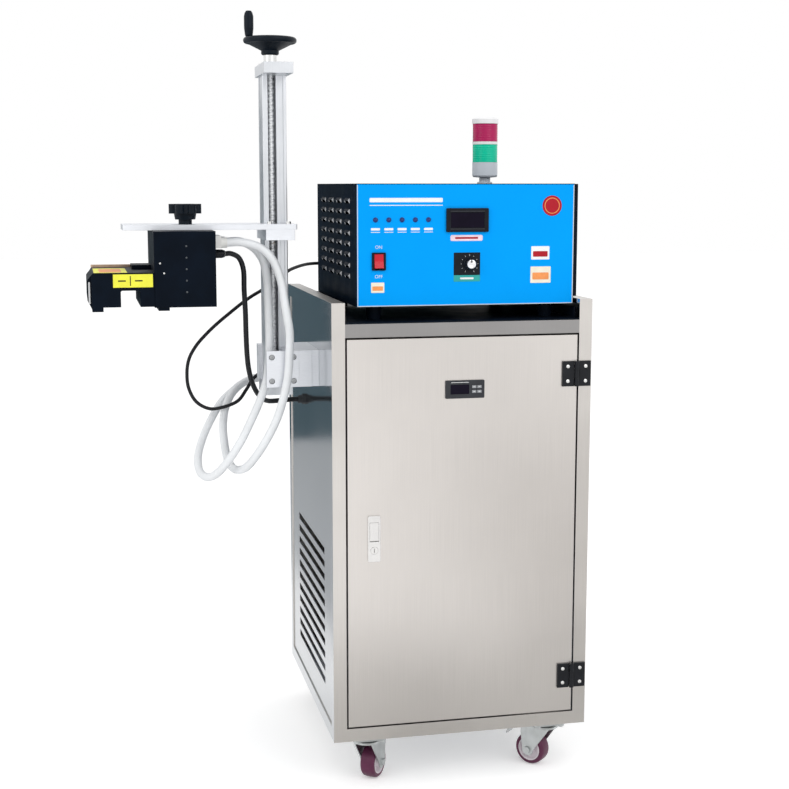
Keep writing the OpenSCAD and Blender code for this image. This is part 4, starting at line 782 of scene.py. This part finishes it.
# Lift column: a clear-anodised extrusion between two blocks, clamped to the cabinet by a plate
# with four socket screws. A rolled lead screw with a turned collar stands in its channel.
aluminium = surface("anodised_aluminium", (0.70, 0.72, 0.75), rough=0.34, metal=1, shift=0.05, size=8,
                    stretch=(500, 500, 30), depth=0.06, ease=0.0008)
milled = surface("milled_aluminium", (0.84, 0.86, 0.90), rough=0.46, metal=1, shift=0.05, size=12,
                 stretch=(60, 700, 700), depth=0.07, ease=0.001)
brass = surface("lead_brass", (0.62, 0.42, 0.16), rough=0.3, metal=1, shift=0.08, size=50, grain=300,
                depth=0.06)
black_moulding = surface("black_moulding", (0.003, 0.007, 0.013), rough=0.40, shift=0.2, size=40, grain=900,
                         depth=0.12, rub_and_sheen=0.15, rub_and_sheen_colour=(0.07, 0.08, 0.1), shine=0.15)
# The thread's steel is paler and less metallic than the screw steel: painted light against the shade of the
# column's channel.
thread_steel = surface("thread_steel", (0.86, 0.87, 0.88), rough=0.5, metal=0.75, shift=0.06, size=90,
                       grain=400, depth=0.06, ease=0.0003)
dress(aluminium, "column_profile")
dress(milled, "bracket_block", "clamp_plate", "carriage_block", "arm_plate")
dress(aluminium, "column_bearings")
dress(brass, "lead_nut")
dress(black_moulding, "handwheel", "handwheel_grip", "star_knob")
thread_low, thread_turns, lead = 648, 62, 10
thread_root, thread_crest, join, turn_steps = 4.7, 5.95, 0.00002, 20
thread_line = [(thread_root, 0), (thread_root, 3.4), (thread_crest, 4.6), (thread_crest, 8.8),
               (thread_root, lead)]
screw = flat_blank(1, 1)
bpy.ops.mesh.merge(type="CENTER")
bpy.ops.transform.translate(value=(thread_root / 1000, 0, 0))
for (radius, low), (wide, high) in zip(thread_line, thread_line[1:]):
    step = ((wide - radius) / 1000, 0, (high - low) / 1000)
    bpy.ops.mesh.extrude_vertices_move(TRANSFORM_OT_translate={"value": step})
bpy.ops.object.mode_set(mode="OBJECT")
winding = screw.modifiers.new("winding", "SCREW")
winding.axis = "Z"
winding.screw_offset = lead / 1000
winding.iterations = thread_turns
winding.steps = turn_steps
winding.render_steps = turn_steps
winding.use_merge_vertices = True
winding.merge_threshold = join
bpy.ops.object.modifier_apply(modifier=winding.name)
bpy.ops.object.mode_set(mode="EDIT")
bpy.ops.mesh.select_all(action="SELECT")
bpy.ops.mesh.remove_doubles(threshold=join)
bpy.ops.mesh.select_all(action="DESELECT")
bpy.ops.mesh.select_non_manifold()
bpy.ops.mesh.fill_holes(sides=0)
bpy.ops.mesh.select_all(action="SELECT")
bpy.ops.mesh.normals_make_consistent(inside=False)
bpy.ops.object.mode_set(mode="OBJECT")
screw_x, screw_y = -75, 231
screw.location = from_corner(screw_x, screw_y, thread_low)
settle(screw, "lead_thread", thread_steel, "screw", 40)
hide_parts("lead_screw")
collar_rings = [(11.9, 0), (12.5, 0.6), (12.5, 17.6), (11.9, 18.2)]
screw_collar = turned(collar_rings, from_corner(screw_x, screw_y, 1274.8))
settle(screw_collar, "screw_collar", screw_steel, "screw")


def socket_screw(radius, height, key):
    head = turned([(radius, 0), (radius, height - 0.5), (radius - 0.5, height)], (0, 0, 0), sides=36)
    start_piece()
    bpy.ops.mesh.primitive_cylinder_add(vertices=6, radius=key / 1000, depth=height / 1000,
                                        location=(0, 0, height / 1000))
    return cut_away(head, bpy.context.object)


socket_steel = surface("socket_screw_steel", (0.40, 0.41, 0.42), rough=0.36, metal=1, shift=0.08, size=90,
                       grain=400, depth=0.08, ease=0.0003)
clamp_screw = socket_screw(4.9, 5, 2.4)
clamp_face, arm_screw_y, arm_top, top_screw_y, column_top = 157, 170, 974, 270, 1274.5
for x in (-89.5, -47.5):
    for z in (675, 721):
        name = f"clamp_screw_{-int(x)}_{z}"
        copied(clamp_screw, name, from_corner(x, clamp_face, z), to_front, socket_steel, "cabinet")
for x in (-88, -52):
    arm_seat = from_corner(x, arm_screw_y, arm_top)
    top_seat = from_corner(x, top_screw_y, column_top)
    copied(clamp_screw, f"arm_screw_{-x}", arm_seat, upwards, screw_steel, "carriage")
    copied(clamp_screw, f"top_screw_{-x}", top_seat, upwards, screw_steel, "cabinet")
bpy.data.objects.remove(clamp_screw)


# Sealing head: a black coated box beside the tunnel block that the bottles pass under.
# Small screws close the box, and plain yellow fields mark the tunnel's entry and top.
head_black = surface("head_black", (0.002, 0.005, 0.011), rough=0.42, shift=0.2, size=30, grain=900,
                     depth=0.08, rub_and_sheen=0.15, rub_and_sheen_colour=(0.05, 0.06, 0.08), shine=0.06)
copper = surface("copper_strip", (0.62, 0.45, 0.33), rough=0.35, metal=1, shift=0.12, size=60, grain=300,
                 depth=0.08)
dress(head_black, "head_housing", "tunnel_head")
screw_black = surface("blackened_screw", (0.10, 0.11, 0.12), rough=0.35, metal=0.7, shift=0.1, size=90,
                      grain=400, depth=0.08, ease=0.0003)
small_screw = slotted_screw(1.8, 0.7)
head_face, head_print, out_of_head = 90, 89.7, (0.05, -1, 0.02)
screw_row, screw_top, screw_pitch = -252, 937, 21
for k in range(5):
    seat = from_corner(screw_row, head_face, screw_top - screw_pitch * k)
    copied(small_screw, f"head_screw_{k + 1}", seat, out_of_head, screw_black, "head")
for name, x, z in (("upper", -300, 906), ("lower", -293, 888)):
    seat = from_corner(x, head_face, z)
    copied(small_screw, "side_screw_" + name, seat, out_of_head, screw_steel, "head")
bpy.data.objects.remove(small_screw)
entry_x, entry_z, bar_reach = -354, 875, 15
field("entry_field", (-349.2, head_face, entry_z), (71.5, 24), label_yellow, "head",
      thick=0.3, corner=0.8)
field("entry_mark", (entry_x, head_print, entry_z), (1.6, 18), gloss_black, "head",
      thick=0.1, corner=0.3)
for side in (-1, 1):
    field(f"entry_bar_{side + 2}", (entry_x + bar_reach * side, head_print, entry_z), (14, 2.4),
          gloss_black, "head", thick=0.1, corner=0.6)
# A thin white stripe on the tunnel head's left cheek is a painted highlight.
field("cheek_painted_highlight", (-427.3, 102, 853), (3.2, 40), white_print_and_highlight, "head", thick=0.3,
      corner=0.8)
tunnel_middle, tunnel_top = -389, 889.7
field("top_field", (tunnel_middle, 165, tunnel_top), (60, 145), label_yellow, "head",
      thick=0.3, corner=2, facing="top")
field("top_print", (tunnel_middle, 160, 890), (40, 105), label_orange, "head", thick=0.15,
      corner=2, facing="top")
field("rear_strip", (-381, 288, tunnel_top), (82, 12), copper, "head", thick=5, corner=2,
      facing="top")
gland_rings = [(8.6, 0), (9.6, 0.4), (9.6, 8), (8.4, 8.6), (8.3, 20), (6.4, 25.4)]
gland_nut = turned(gland_rings, from_corner(-198, 185, 918), (1, 0, 0), sides=30)
settle(gland_nut, "cable_gland_nut", gloss_black, "head", 25)


# Cords: two white reinforced cooling hoses, the black head cable and a thin black
# lead to the power box. Each leaves its fitting straight, hangs in a loop and is fixed at both ends.
route_steps = 8


def smooth_route(points):
    """A curve through every point, in route_steps short runs from each point to the next."""
    pts = [from_corner(*p) for p in points]
    route = []
    for i in range(len(pts) - 1):
        a, b = pts[i], pts[i + 1]
        before = pts[i - 1] if i else 2 * a - b
        after = pts[i + 2] if i + 2 < len(pts) else 2 * b - a
        for k in range(route_steps):
            t = k / route_steps
            route.append(0.5 * (2 * a + (b - before) * t + (2 * before - 5 * a + 4 * b - after) * t ** 2
                                + (3 * a - before - 3 * b + after) * t ** 3))
    return route + [pts[-1]]


def drawn_cord(name, route, diameter, material):
    line = bpy.data.curves.new(name, "CURVE")
    line.dimensions = "3D"
    line.bevel_depth = diameter / 2
    line.bevel_resolution = 5
    line.use_fill_caps = True
    thread = line.splines.new("POLY")
    thread.points.add(len(route) - 1)
    for dot, p in zip(thread.points, route):
        dot.co = (*p, 1)
    cord = bpy.data.objects.new(name, line)
    bpy.context.collection.objects.link(cord)
    take_up(cord)
    bpy.ops.object.convert(target="MESH")
    cord = bpy.context.object
    cord.name = name
    bpy.ops.object.shade_smooth_by_angle(angle=math.radians(50))
    cord.data.materials.clear()
    cord.data.materials.append(material)
    return cord


hose_white = surface("white_hose", (0.86, 0.88, 0.90), rough=0.34, shift=0.04, size=30, grain=500,
                     depth=0.06, ease=0.0003)
cable_black = surface("black_cable", (0.008, 0.009, 0.012), rough=0.42, shift=0.2, size=60, grain=900,
                      depth=0.1, ease=0.0003, shine=0.25)
hose_a_points = [
    (-170, 165, 940), (-140, 165, 940), (-106, 165, 929), (-83, 163, 905), (-69, 158, 866),
    (-62, 147, 813), (-57, 135, 770), (-58, 134, 728), (-61, 135, 686), (-70, 134, 645),
    (-83, 135, 605), (-102, 133, 568), (-124, 141, 532), (-142, 167, 505), (-158, 205, 496),
    (-167, 245, 507), (-170, 279, 535), (-170, 302, 570), (-161, 325, 604), (-141, 352, 631),
    (-111, 375, 647), (-71, 387, 652), (-30, 390, 650), (-14, 390, 650),
]
hose_b_points = [
    (-170, 205, 940), (-140, 205, 940), (-114, 205, 927), (-97, 203, 902), (-90, 200, 862),
    (-89, 193, 802), (-89, 187, 755), (-91, 184, 713), (-97, 180, 671), (-111, 179, 632),
    (-129, 176, 594), (-149, 168, 558), (-173, 168, 522), (-196, 189, 491), (-213, 220, 480),
    (-223, 259, 487), (-221, 297, 512), (-207, 323, 546), (-188, 338, 580), (-167, 361, 606),
    (-142, 390, 623), (-111, 415, 640), (-71, 426, 650), (-30, 430, 650), (-14, 430, 650),
]
thick_points = [
    (-172, 185, 918), (-160, 185, 918), (-145, 186, 909), (-137, 187, 886), (-136, 190, 848),
    (-134, 192, 805), (-133, 195, 760), (-131, 200, 720), (-127, 207, 690), (-119, 221, 663),
    (-107, 240, 640), (-92, 267, 624), (-76, 297, 615), (-50, 322, 612), (-26, 330, 612),
    (-12, 330, 612),
]
thin_points = [
    (-12, 345, 650), (-24, 345, 650), (-45, 345, 655), (-79, 337, 669), (-103, 325, 660),
    (-121, 313, 637), (-139, 306, 616), (-167, 305, 605), (-195, 312, 601), (-221, 315, 615),
    (-236, 315, 643), (-239, 316, 674), (-234, 317, 703), (-219, 319, 729), (-198, 321, 752),
    (-176, 323, 772), (-152, 326, 791), (-128, 331, 809), (-104, 342, 824), (-81, 358, 835),
    (-61, 378, 846), (-43, 401, 856), (-25, 424, 864), (-8, 448, 871), (12, 472, 876), (33, 496, 879),
    (51, 509, 880), (72, 515, 880), (92, 507, 880), (100, 487, 880), (100, 477, 880),
]


def head_cord(name, points, diameter, material, turn):
    """A cord in two pieces that meet at its point number turn."""
    route = smooth_route(points)
    joint = turn * route_steps
    near = drawn_cord(name + "_at_head", route[:joint + 1], diameter, material)
    far = drawn_cord(name + "_loop", route[joint:], diameter, material)
    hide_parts(name)
    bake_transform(near)
    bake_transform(far)


hose_diameter, thick_diameter, thin_diameter = 0.016, 0.010, 0.007
head_cord("hose_a", hose_a_points, hose_diameter, hose_white, 3)
head_cord("hose_b", hose_b_points, hose_diameter, hose_white, 4)
head_cord("cable_thick", thick_points, thick_diameter, cable_black, 4)

thin_route = smooth_route(thin_points)
thin_lead = drawn_cord("thin_lead", thin_route, thin_diameter, cable_black)
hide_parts("cable_thin")
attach(thin_lead, "cabinet")
